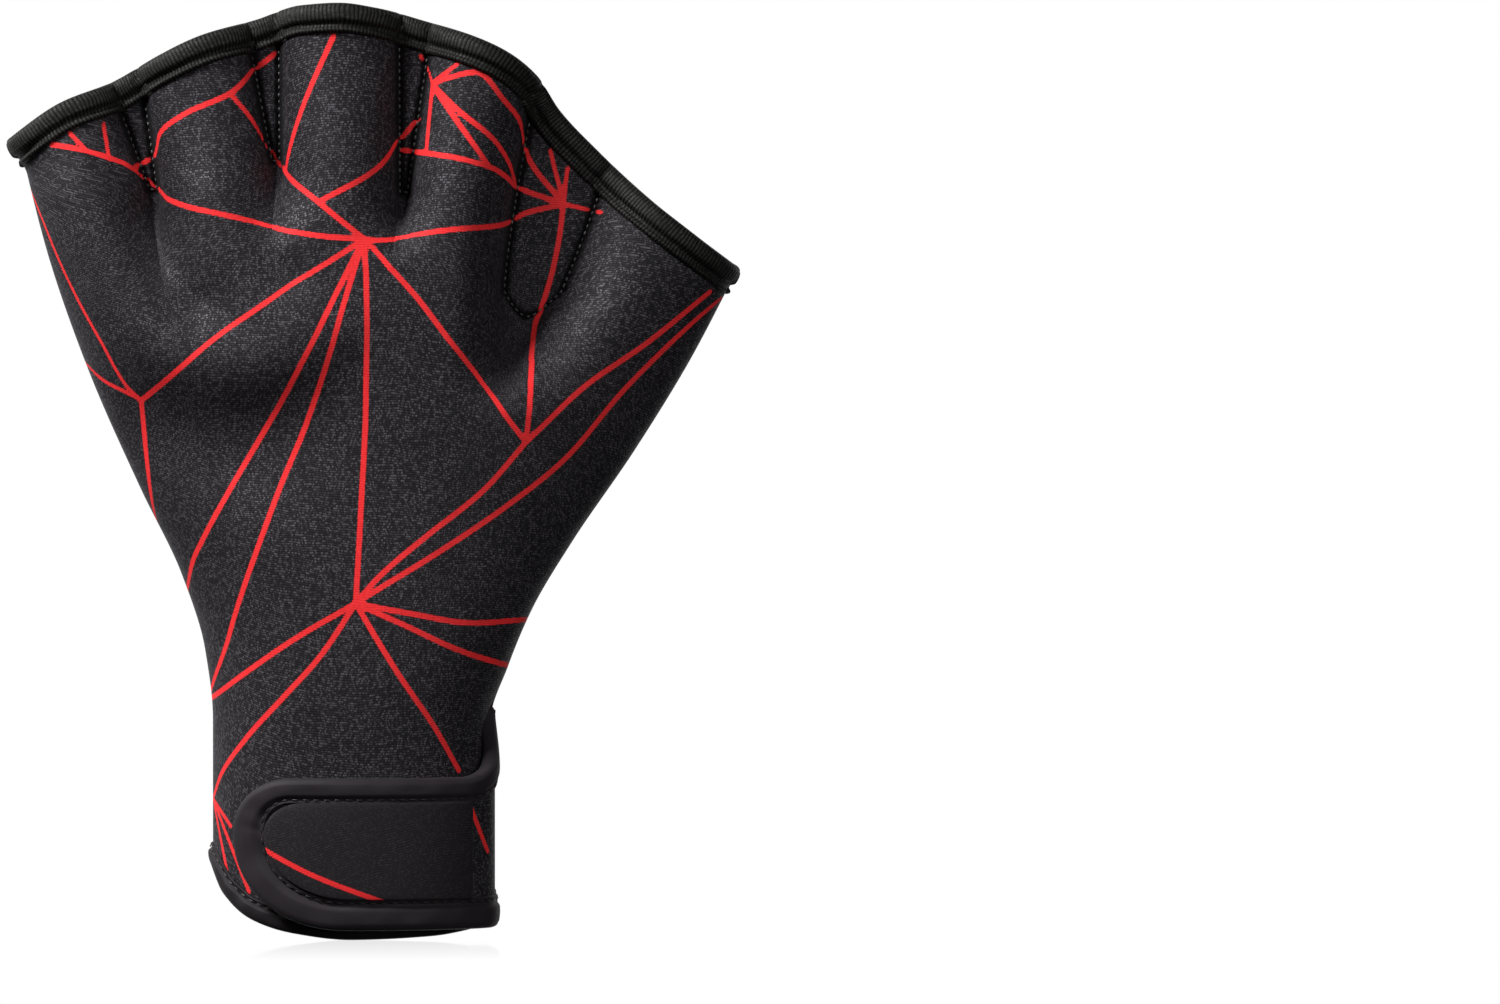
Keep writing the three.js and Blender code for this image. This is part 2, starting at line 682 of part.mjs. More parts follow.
const strapFace = strapWall / 2;
const patchInset = strapLeg + seamGap;
const glove = new THREE.Group();
glove.add(
  panel("back_panel", printedJersey, BACK),
  panel("palm_panel", plainJersey, PALM),
  fingerBinding("back_finger_binding", ribbedTape, BACK),
  fingerBinding("palm_finger_binding", ribbedTape, PALM),
  hemBinding("wrist_binding", smoothTape),
  strapLayer("strap", printedJersey, {
    start: 0,
    inset: 0,
    steps: 18,
    bias: 1.2,
    outer: strapFace,
    inner: -strapFace,
  }),
  strapBinding("strap_binding", smoothTape),
  strapLayer("strap_patch", patchCloth, {
    start: patchStart,
    inset: patchInset,
    steps: 9,
    bias: 1,
    outer: strapFace + seamGap + patchWall,
    inner: strapFace + seamGap,
  }),
  strapLayer("hook_pad", hookTape, {
    start: strapLength - patchInset - hookLength,
    inset: patchInset,
    steps: 6,
    bias: 1,
    outer: -strapFace - seamGap,
    inner: -strapFace - seamGap - hookWall,
  }),
);

export default glove;
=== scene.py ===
"""Dress a left-hand webbed swim glove: neoprene panels, tapes, strap, thread and printed lines.

The glove stands open with its wrist down. +Z runs from the wrist to the fingers, the back of the
hand looks to -Y and the thumb is at +X. Lengths are in metres, and tables hold shares of them.
"""

from __future__ import annotations

import logging
from dataclasses import dataclass, field
from enum import Enum
from typing import Any, Callable, Sequence

import bpy
import numpy as np
from numpy.typing import NDArray
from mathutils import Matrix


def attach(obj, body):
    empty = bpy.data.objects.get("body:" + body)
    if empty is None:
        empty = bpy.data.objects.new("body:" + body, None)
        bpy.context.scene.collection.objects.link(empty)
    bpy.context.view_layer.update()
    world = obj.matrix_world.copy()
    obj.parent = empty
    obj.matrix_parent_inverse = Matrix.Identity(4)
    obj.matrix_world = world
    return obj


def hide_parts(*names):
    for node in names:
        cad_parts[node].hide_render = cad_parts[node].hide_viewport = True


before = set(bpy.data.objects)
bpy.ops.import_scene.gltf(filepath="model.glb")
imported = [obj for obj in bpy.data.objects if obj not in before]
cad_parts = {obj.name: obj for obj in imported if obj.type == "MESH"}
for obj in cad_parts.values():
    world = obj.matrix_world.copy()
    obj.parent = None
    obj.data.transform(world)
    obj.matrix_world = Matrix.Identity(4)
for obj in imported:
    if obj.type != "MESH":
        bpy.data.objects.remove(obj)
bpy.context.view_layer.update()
LOG = logging.getLogger("swim_glove")
MM = 0.001
Array = NDArray[np.float64]
Place = tuple[float, float, float]
Colour = tuple[float, float, float, float]
Chain = Sequence[tuple[float, float]]
Material = bpy.types.Material
Object = bpy.types.Object


class Side(Enum):
    """The two panels, by the way that they face along Y."""

    BACK = -1
    PALM = 1


class Curve:
    """A smooth curve through a table's rows that never overshoots and runs on straight past its ends."""

    def __init__(self, at: Sequence[float], value: Sequence[float]) -> None:
        """Work out the slope at each row, as the weighted harmonic mean of its two neighbours.

        Args:
            at: the rows' places, rising.
            value: the value at each place.
        """
        self.x = np.asarray(at, float)
        self.y = np.asarray(value, float)
        step = np.diff(self.x)
        slope = np.diff(self.y) / step
        tangent = np.concatenate([slope[:1], np.zeros(len(step) - 1), slope[-1:]])
        turns = slope[:-1] * slope[1:] <= 0
        early = 2 * step[1:] + step[:-1]
        late = step[1:] + 2 * step[:-1]
        with np.errstate(divide="ignore", invalid="ignore"):
            mean = (early + late) / (early / slope[:-1] + late / slope[1:])
        tangent[1:-1] = np.where(turns, 0.0, mean)
        self.tangent = tangent

    def __call__(self, at: Array | float) -> Array:
        """Work out the curve: a cubic between two rows, from their values and slopes.

        Args:
            at: the places.

        Returns:
            The curve's values there.
        """
        at = np.asarray(at, float)
        x, y, m = self.x, self.y, self.tangent
        i = np.clip(np.searchsorted(x, at, side="right") - 1, 0, len(x) - 2)
        step = x[i + 1] - x[i]
        t = (at - x[i]) / step
        rise = y[i + 1] - y[i]
        early, late = step * m[i], step * m[i + 1]
        inside = y[i] + t * early + t**2 * (3 * rise - 2 * early - late) + t**3 * (early + late - 2 * rise)
        low = y[0] + (at - x[0]) * m[0]
        high = y[-1] + (at - x[-1]) * m[-1]
        return np.where(at <= x[0], low, np.where(at >= x[-1], high, inside))


def smoothstep(x: Array | float) -> Array:
    """Return 0 below 0, 1 above 1 and 3x^2 - 2x^3 between."""
    x = np.clip(x, 0.0, 1.0)
    return x * x * (3 - 2 * x)


def lerp(a: Any, b: Any, t: Any) -> Any:
    """Return the place a share t of the way from a to b."""
    return a + (b - a) * t


def unit(v: Array) -> Array:
    """Return the vectors of the last axis at length 1."""
    return v / np.maximum(np.linalg.norm(v, axis=-1, keepdims=True), 1e-12)


def lengths(points: Array) -> Array:
    """Return the length along a line up to each of its points."""
    return np.concatenate([[0], np.cumsum(np.linalg.norm(np.diff(points, axis=0), axis=1))])


def bell(off: Array, width: float) -> Array:
    """Return exp(-(off / width)^2): 1 at no distance, fading to both sides."""
    return np.exp(-((off / width) ** 2))


@dataclass(frozen=True)
class Web:
    """One stitched web: its line from foot to finger edge, and its widths.

    top and foot are (x, z); cuff_share is where the line meets the cuff, as a share of its width;
    round is how much higher the foot is at its two edges; crease is how far the crease fades below.
    """

    top: tuple[float, float]
    foot: tuple[float, float]
    top_width: float
    foot_width: float
    bend: float
    cuff_share: float
    round: float
    crease: float

    def rounding(self, across: Array | float) -> Array:
        """Return how much higher the foot is at shares of the way across it: a parabola."""
        return self.round * (2 * across - 1) ** 2


@dataclass(frozen=True)
class Fold:
    """A soft fold or dent of the back panel, along a line seen from the front.

    line holds (x, z) in millimetres, width is the half-width and height how far the cloth stands
    out there, or in where it is negative.
    """

    line: tuple[tuple[float, float], ...]
    width: float
    height: float

    STRETCHES = 9

    def lift(self, x: Array, z: Array) -> Array:
        """Lift the cloth by a bell of the distance to a smooth line, past its ends too.

        Args:
            x: the places' x.
            z: their heights.

        Returns:
            How far the cloth stands out there.
        """
        points = np.asarray(self.line) * MM
        run = lengths(points)
        at = np.linspace(0, run[-1], self.STRETCHES + 1)
        fx, fz = Curve(run, points[:, 0])(at), Curve(run, points[:, 1])(at)
        nearest = np.full(np.broadcast(x, z).shape, np.inf)
        for ax, az, dx, dz in zip(fx, fz, np.diff(fx), np.diff(fz)):
            along = np.clip(((x - ax) * dx + (z - az) * dz) / (dx * dx + dz * dz), 0, 1)
            off = (x - ax - along * dx) ** 2 + (z - az - along * dz) ** 2
            nearest = np.minimum(nearest, off)
        return self.height * np.exp(-nearest / self.width**2)


FOLDS = (
    Fold(
        ((-60, 157), (-55, 143), (-48.5, 129.5), (-37.5, 122), (-25, 120.5), (-11, 124)),
        width=8.5 * MM,
        height=3.1 * MM,
    ),
    Fold(((-31, 156), (-24, 142), (-14, 133.5), (-2, 130)), width=7 * MM, height=1.4 * MM),
    Fold(((-44, 152), (-40, 143), (-33, 134.5)), width=5 * MM, height=-1.6 * MM),
    Fold(((-19, 152), (-18, 145), (-13, 139)), width=4 * MM, height=-1.2 * MM),
    Fold(((-42, 106), (-28, 102), (-14, 105)), width=12 * MM, height=-2.2 * MM),
)


@dataclass(frozen=True)
class GloveForm:
    """The form of the worn glove: the middle surfaces of its back and palm panels.

    A place is a column from 0 at the little finger's side to 9 at the thumb's, and a height. Each
    whole number is a seam, so the parts between them are finger, web, finger, and so on. A web's two
    edges are its hands, -0.5 nearer the little finger and 0.5 nearer the thumb.
    """

    height: float = 196.7 * MM
    little_reach: float = 71 * MM
    thumb_reach: float = 81.5 * MM
    wrist_width: float = 59 * MM
    cuff_height: float = 46 * MM
    hem_rise: float = 15 * MM
    palm_drop: float = 2.5 * MM
    wrist_depth: float = 42 * MM
    palm_depth: float = 32 * MM
    finger_depth: float = 19 * MM
    thumb_depth: float = 22 * MM
    thumb_cup: float = 14 * MM
    little_cup: float = 5 * MM
    finger_curl: float = 4 * MM
    wall: float = 2 * MM
    seam_gap: float = 0.3 * MM
    side_gap: float = -0.1 * MM
    clearance: float = 0.3 * MM
    tape: float = 0.6 * MM
    inner_leg: float = 3.5 * MM
    spread_run: float = 8 * MM
    slit_top: float = 54 * MM
    slit_run: float = 10 * MM
    slit_inset: float = 4 * MM
    slit_shown: float = 1.8 * MM
    corner_flare: float = 2.2 * MM
    corner_run: float = 7.5 * MM
    lean_reach: float = 4.5 * MM
    folds: tuple[Fold, ...] = ()

    PARTS = 9
    PUFFS = (0.78, 0.78, 0.78, 0.95, 1.35)
    NUDGE = 1e-3
    CUP_STEP = 0.1 * MM
    UP_STEP = 0.01 * MM
    TOP_STEPS = 1801
    HALVINGS = 40
    FLARE = {
        "at": (-0.1, 0, 0.12, 0.25, 0.4, 0.6, 0.8, 1),
        "little": (0, 0, 0.04, 0.16, 0.375, 0.639, 0.848, 1),
        "thumb": (0, 0, 0.07, 0.17, 0.333, 0.583, 0.808, 1),
    }
    EDGE_ACROSS = (
        *(-1, -0.86, -0.717, -0.573, -0.43, -0.287, -0.144, -0.035, 0.063),
        *(0.188, 0.312, 0.406, 0.469, 0.53, 0.625, 0.75, 0.874, 1),
    )
    EDGE_UP = (
        *(0.86, 0.894, 0.9146, 0.9436, 0.9675, 0.982, 0.998, 1, 0.995),
        *(0.981, 0.9654, 0.9466, 0.9253, 0.887, 0.845, 0.7966, 0.755, 0.7158),
    )
    WEB_TOPS = (
        {"across": -0.68, "up": 0.927, "width": 0.122, "bend": 1},
        {"across": -0.269, "up": 0.989, "width": 0.122, "bend": 1},
        {"across": 0.167, "up": 0.99, "width": 0.122, "bend": 1},
        {"across": 0.58, "up": 0.871, "width": 0.335, "bend": 0.5},
    )
    WEB_FEET = (
        {"across": -0.594, "up": 0.804, "width": 0.027, "round": 0, "crease": 0.4, "cuff": 0.155},
        {"across": -0.227, "up": 0.835, "width": 0.027, "round": 0, "crease": 0.33, "cuff": 0.335},
        {"across": 0.135, "up": 0.801, "width": 0.027, "round": 0, "crease": 0.27, "cuff": 0.515},
        {"across": 0.453, "up": 0.667, "width": 0.13, "round": 0.09, "crease": 0.36, "cuff": 0.72},
    )
    CUP = {"up": 0.6, "thumb": 0.5, "little": 0.4}
    DEPTHS = {
        "level": (-0.1, 0, 0.15, 0.35, 0.55, 0.75, 0.9, 1),
        "wrist": (1, 1, 0.7, 0.15, 0, 0, 0, 0),
        "palm": (0, 0, 0.3, 0.85, 1, 0.7, 0.2, 0),
        "finger": (0, 0, 0, 0, 0, 0.3, 0.8, 1),
        "little": (0.5, 0.5, 0.42, 0.25, 0.17, 0.11, 0.075, 0.06),
        "thumb": (0.5, 0.5, 0.45, 0.36, 0.28, 0.19, 0.12, 0.1),
    }
    HEM = {
        "across": (0, 0.05, 0.15, 0.3, 0.5, 0.8, 1),
        Side.BACK: (1, 0.58, 0.25, 0.08, 0, 0.04, 0.16),
        Side.PALM: (1, 0.95, 0.82, 0.65, 0.45, 0.26, 0.16),
    }
    THUMB_COLUMN = 7.0
    THUMB_RUN = 1.5
    DROP_RUN = 0.125

    def __post_init__(self) -> None:
        """Turn the tables of shares into curves and webs of real size."""
        keep = object.__setattr__
        reach = np.where(np.asarray(self.EDGE_ACROSS) < 0, self.little_reach, self.thumb_reach)
        keep(self, "edge_height", Curve(reach * self.EDGE_ACROSS, self.height * np.asarray(self.EDGE_UP)))
        keep(self, "flare", {k: Curve(self.FLARE["at"], self.FLARE[k]) for k in ("little", "thumb")})
        levels = {k: v for k, v in self.DEPTHS.items() if k != "level"}
        keep(self, "depth_of", {k: Curve(self.DEPTHS["level"], v) for k, v in levels.items()})
        keep(self, "hem_of", {s: Curve(self.HEM["across"], self.HEM[s]) for s in Side})
        webs = [
            Web(
                top=self._place(top),
                foot=self._place(foot),
                top_width=top["width"] * self.wrist_width,
                foot_width=foot["width"] * self.wrist_width,
                bend=top["bend"],
                cuff_share=foot["cuff"],
                round=foot["round"] * self.wrist_width,
                crease=foot["crease"] * self.wrist_width,
            )
            for top, foot in zip(self.WEB_TOPS, self.WEB_FEET)
        ]
        keep(self, "webs", tuple(webs))
        keep(self, "_top_at", np.linspace(0, self.PARTS, self.TOP_STEPS))
        keep(self, "_top_z", self._solve_top(self._top_at))

    def _place(self, row: dict[str, float]) -> tuple[float, float]:
        """Return the (x, z) of a row that holds shares of the reach and of the height."""
        reach = self.little_reach if row["across"] < 0 else self.thumb_reach
        return row["across"] * reach, row["up"] * self.height

    def sides(self, z: Array | float) -> tuple[Array, Array]:
        """Work out the left and right limits of the middle surface.

        Args:
            z: the heights.

        Returns:
            The x of the little finger's side, and that of the thumb's.
        """
        half = self.wrist_width / 2
        tops = {"little": self.edge_height(-self.little_reach), "thumb": self.edge_height(self.thumb_reach)}
        share = {}
        for hand, top in tops.items():
            up = (z - self.cuff_height) / (top - self.cuff_height)
            share[hand] = np.maximum(0, self.flare[hand](up))
        corner = self.corner_flare * smoothstep(1 - (tops["little"] - z) / self.corner_run)
        left = -half - share["little"] * (self.little_reach - half) + self.wall / 2 - corner
        right = half + share["thumb"] * (self.thumb_reach - half) - self.wall / 2
        return left, right

    def web_line(self, index: int, hand: float, z: Array) -> Array:
        """Work out one edge of a web: straight above the foot, and a share of the width below.

        Args:
            index: the web, from 0 at the little finger.
            hand: which of its edges.
            z: the heights.

        Returns:
            The edge's x at each height.
        """
        web = self.webs[index]
        left, right = self.sides(z)
        up = (z - web.foot[1]) / (web.top[1] - web.foot[1])
        width = lerp(web.foot_width, web.top_width, np.clip(up, 0, 1) ** web.bend)
        above = lerp(web.foot[0], web.top[0], up) + hand * width
        foot_left, foot_right = self.sides(web.foot[1])
        share = (web.foot[0] - foot_left) / (foot_right - foot_left)
        down = np.clip((z - self.cuff_height) / (web.foot[1] - self.cuff_height), 0, 1)
        below = lerp(left, right, lerp(web.cuff_share, share, down)) + hand * web.foot_width
        return np.where(z >= web.foot[1], above, below)

    def split(self, column: Array) -> tuple[Array, Array]:
        """Tell which part each column lies in, and how far across it, closer set at the sides.

        Args:
            column: the columns.

        Returns:
            The parts, and the shares: 1 - cos of a right angle's share in the first part, sin in the last.
        """
        part = np.clip(np.floor(column), 0, self.PARTS - 1).astype(int)
        along = column - part
        first = 1 - np.cos(along * np.pi / 2)
        last = np.sin(along * np.pi / 2)
        return part, np.where(part == 0, first, np.where(part == self.PARTS - 1, last, along))

    def column_x(self, column: Array, z: Array) -> Array:
        """Work out the x of columns from the two seams that they lie between.

        Args:
            column: the columns.
            z: the heights.

        Returns:
            The x of each.
        """
        column, z = np.broadcast_arrays(np.asarray(column, float), np.asarray(z, float))
        part, share = self.split(column)
        near, far = self.borders(part, self.seams(z))
        return lerp(near, far, share)

    def seams(self, z: Array) -> Array:
        """Work out the ten seams: both sides and each web's two edges.

        Args:
            z: the heights.

        Returns:
            The x of each seam at each height.
        """
        left, right = self.sides(z)
        rows = [left]
        for index in range(len(self.webs)):
            rows += [self.web_line(index, -0.5, z), self.web_line(index, 0.5, z)]
        return np.stack([*rows, right])

    @staticmethod
    def borders(part: Array, seams: Array) -> tuple[Array, Array]:
        """Return the x of the two seams that each place's part lies between."""
        near = np.take_along_axis(seams, part[None], 0)[0]
        return near, np.take_along_axis(seams, part[None] + 1, 0)[0]

    def column_at(self, side: Side, x: Array, z: Array) -> Array:
        """Find the columns of places seen from the front: the inverse of column_x, past the slit too.

        Args:
            side: the panel.
            x: the places' x.
            z: their heights, of the same shape.

        Returns:
            The columns, from 0 to 9.
        """
        seams = self.seams(z)
        part = np.clip(np.sum(x[None] >= seams[1:-1], axis=0), 0, self.PARTS - 1)
        near, far = self.borders(part, seams)
        share = np.clip((x - near) / (far - near), 0, 1)
        first = np.arccos(1 - share) * 2 / np.pi
        last = np.arcsin(share) * 2 / np.pi
        along = np.where(part == 0, first, np.where(part == self.PARTS - 1, last, share))
        if side is Side.BACK:
            end = self.at_slit(side, np.full(z.shape, float(self.PARTS)), z) - (self.PARTS - 1)
            along = np.where(part == self.PARTS - 1, np.minimum(along / end, 1), along)
        return part + along

    def _solve_top(self, column: Array) -> Array:
        """Find the height where each column meets the finger edge, halving the range each time.

        Args:
            column: the columns.

        Returns:
            The height of each.
        """
        low = np.full(column.shape, self.cuff_height)
        high = np.full(column.shape, 2 * self.height)
        for _ in range(self.HALVINGS):
            middle = (low + high) / 2
            under = self.edge_height(self.column_x(column, middle)) > middle
            low = np.where(under, middle, low)
            high = np.where(under, high, middle)
        return low

    def top(self, column: Array) -> Array:
        """Return the height of the back panel's finger edge at each column."""
        return np.interp(column, self._top_at, self._top_z)

    def edge(self, side: Side, column: Array) -> Array:
        """Work out a panel's finger edge; the palm's is lower except at the side seams.

        Args:
            side: the panel.
            column: the columns.

        Returns:
            The edge's height at each.
        """
        across = np.asarray(column) / self.PARTS
        drop = self.palm_drop * smoothstep(np.minimum(across, 1 - across) / self.DROP_RUN)
        return self.top(column) - (drop if side is Side.PALM else 0)

    def hem_at(self, side: Side, across: Array) -> Array:
        """Return the hem's height at shares of the cuff's width, clear of the ground by its tape."""
        return self.clearance + self.tape + self.hem_rise * self.hem_of[side](across)

    def hem(self, side: Side, column: Array) -> Array:
        """Return the hem's height at each column."""
        left, right = self.sides(0.0)
        return self.hem_at(side, (self.column_x(column, np.zeros_like(column)) - left) / (right - left))

    def cup(self, x: Array, z: Array) -> Array:
        """Work out how far the middle between the panels lies towards the palm.

        It grows by a smooth step with height, and towards each side by one of its own, and the
        fingers curl by the square of the height.

        Args:
            x: the places' x.
            z: their heights.

        Returns:
            The middle's y at each.
        """
        left, right = self.sides(z)
        across = np.clip((x - left) / (right - left), 0, 1)
        up = np.clip((z - self.cuff_height) / (self.height - self.cuff_height), 0, 1)
        thumb = self.thumb_cup * smoothstep(1 - (1 - across) / self.CUP["thumb"])
        little = self.little_cup * smoothstep(1 - across / self.CUP["little"])
        return smoothstep(up / self.CUP["up"]) * (thumb + little) + self.finger_curl * up**2

    def pull(self, index: int, z: Array, across: Array | float) -> Array:
        """Tell how tightly a web pulls the panels together: 1 at its stitches, fading below.

        Args:
            index: the web.
            z: the heights.
            across: shares of the way across the web.

        Returns:
            Values from 0 to 1.
        """
        web = self.webs[index]
        lift = web.rounding(across)
        return 1 - smoothstep((web.foot[1] + lift - z) / (web.crease + lift))

    def openness(self, part: Array, share: Array, z: Array) -> Array:
        """Tell how open the glove is: 0 at a seam, rising to 1 mid-finger as a flattened circle does.

        Args:
            part: the part of each place.
            share: how far across the part it is.
            z: its height.

        Returns:
            Values from 0 to 1.
        """
        out = np.ones_like(z)
        near = 1 - np.clip(2 * share, 0, 1)
        far = 1 - np.clip(2 - 2 * share, 0, 1)
        for index in range(len(self.webs)):
            here = 2 * index + 1
            out = np.where(part == here, 1 - self.pull(index, z, share), out)
            beside = ((-1, 0.0, far, self.PUFFS[index]), (1, 1.0, near, self.PUFFS[index + 1]))
            for step, across, edge, puff in beside:
                bulge = self._bulge(self.pull(index, z, across), edge, puff)
                out = np.where(part == here + step, out * bulge, out)
        return out

    @staticmethod
    def _bulge(pull: Array, edge: Array, puff: float) -> Array:
        """Return the opening beside a seam: (1 - edge^2) to the power of the puff, scaled by the pull."""
        return 1 - pull * (1 - (1 - edge**2) ** puff)

    def _half_depth(self, side: Side, column: Array, x: Array, z: Array) -> Array:
        """Work out half the distance between the middle surfaces of the two panels.

        The depth passes from wrist to palm to fingers with the level between cuff and finger edge.
        It is rounded off at both sides as an ellipse is, closes at the webs, and stands square to
        the cupped middle.

        Args:
            side: the panel.
            column: the places' columns.
            x: their x.
            z: their heights.

        Returns:
            The half-depth at each.
        """
        part, share = self.split(column)
        level = (z - self.cuff_height) / (self.top(column) - self.cuff_height)
        left, right = self.sides(z)
        width = right - left
        thumb = smoothstep((column - self.THUMB_COLUMN) / self.THUMB_RUN)
        share_of = {name: curve(level) for name, curve in self.depth_of.items()}
        depth = self.wrist_depth * share_of["wrist"] + self.palm_depth * share_of["palm"]
        depth = depth + lerp(self.finger_depth, self.thumb_depth, thumb) * share_of["finger"]
        rounding = self._round_off((x - left) / (width * share_of["little"]))
        rounding = rounding * self._round_off((right - x) / (width * share_of["thumb"]))
        below = self.edge(side, column) - z - self.inner_leg
        closed = self.wall / 2 + (self.tape + self.clearance) * (1 - smoothstep(below / self.spread_run))
        opened = (depth - self.wall - self.seam_gap) / 2
        if side is Side.BACK:
            opened = opened + sum(fold.lift(x, z) for fold in self.folds)
        nudge = self.CUP_STEP
        slope_x = (self.cup(x + nudge, z) - self.cup(x - nudge, z)) / (2 * nudge)
        slope_z = (self.cup(x, z + nudge) - self.cup(x, z - nudge)) / (2 * nudge)
        lean = np.sqrt(1 + slope_x**2 + slope_z**2)
        return self.side_gap / 2 + rounding * lean * lerp(closed, opened, self.openness(part, share, z))

    @staticmethod
    def _round_off(share: Array) -> Array:
        """Return a quarter ellipse that rises from 0 at share 0 to 1 at share 1."""
        share = np.clip(share, 0, 1)
        return np.sqrt(share * (2 - share))

    def at_slit(self, side: Side, column: Array, z: Array) -> Array:
        """Cut the back panel's last columns short of the side below the slit's top.

        Args:
            side: the panel.
            column: the columns.
            z: their heights.

        Returns:
            The columns at which the surface is worked out.
        """
        first = self.PARTS - 1
        if side is Side.PALM:
            return column
        opened = np.clip((self.slit_top - z) / self.slit_run, 0, 1) ** 2
        _, right = self.sides(z)
        width = right - self.web_line(len(self.webs) - 1, 0.5, z)
        end = np.arcsin(np.clip(1 - self.slit_shown * opened / width, 0, 1)) / (np.pi / 2)
        return np.where(column > first, first + (column - first) * end, column)

    def middle(self, side: Side, column: Array, z: Array) -> Array:
        """Work out a panel's middle surface.

        Args:
            side: the panel.
            column: the columns.
            z: the heights.

        Returns:
            A point for each, with its x, y and z in the last axis.
        """
        shown = self.at_slit(side, column, z)
        x = self.column_x(shown, z)
        y = self.cup(x, z) + side.value * self._half_depth(side, shown, x, z)
        return np.stack(np.broadcast_arrays(x, y, z), -1)

    def seam_nearness(self, column: Array, z: Array) -> Array:
        """Return 1 at the stitched seams of the webs, fading to 0 away from them and below each foot.

        Args:
            column: the columns.
            z: the heights.

        Returns:
            The largest value over the eight seams.
        """
        column, z = np.broadcast_arrays(np.asarray(column, float), np.asarray(z, float))
        x = self.column_x(column, z)
        out = np.zeros(z.shape)
        for index in range(len(self.webs)):
            for hand in (-0.5, 0.5):
                off = np.abs(x - self.web_line(index, hand, z))
                here = smoothstep(1 - off / self.lean_reach) * self.pull(index, z, 0.5)
                out = np.maximum(out, here)
        return out

    def skin(self, side: Side, column: Array, z: Array) -> tuple[Array, Array]:
        """Return points of a panel's middle surface and the directions to its outer face.

        They are the normals, except that beside a seam they lean towards the one straight out of the
        glove, so that the cloth of a finger doesn't overhang the stitches beside it.

        Args:
            side: the panel.
            column: the columns.
            z: the heights.

        Returns:
            Points and unit directions.
        """
        point, normal = self.surface(side, column, z)
        lean = self.seam_nearness(column, z)[..., None]
        straight = np.array([0.0, float(side.value), 0.0])
        return point, unit(normal * (1 - lean) + straight * lean)

    def surface(self, side: Side, column: Array, z: Array) -> tuple[Array, Array]:
        """Return points of a panel's middle surface and its outward normals.

        Args:
            side: the panel.
            column: the places' columns.
            z: their heights, of the same shape.

        Returns:
            Points, and normals from the cross of the slopes up and across the surface.
        """
        column, z = np.broadcast_arrays(np.asarray(column, float), np.asarray(z, float))
        nudge = self.UP_STEP
        east = self.middle(side, np.minimum(column + self.NUDGE, self.PARTS), z)
        west = self.middle(side, np.maximum(column - self.NUDGE, 0), z)
        top = np.minimum(z + nudge, self.top(column))
        up = unit(self.middle(side, column, top) - self.middle(side, column, z - nudge))
        normal = unit(np.cross(up, unit(east - west))) * side.value
        return self.middle(side, column, z), normal


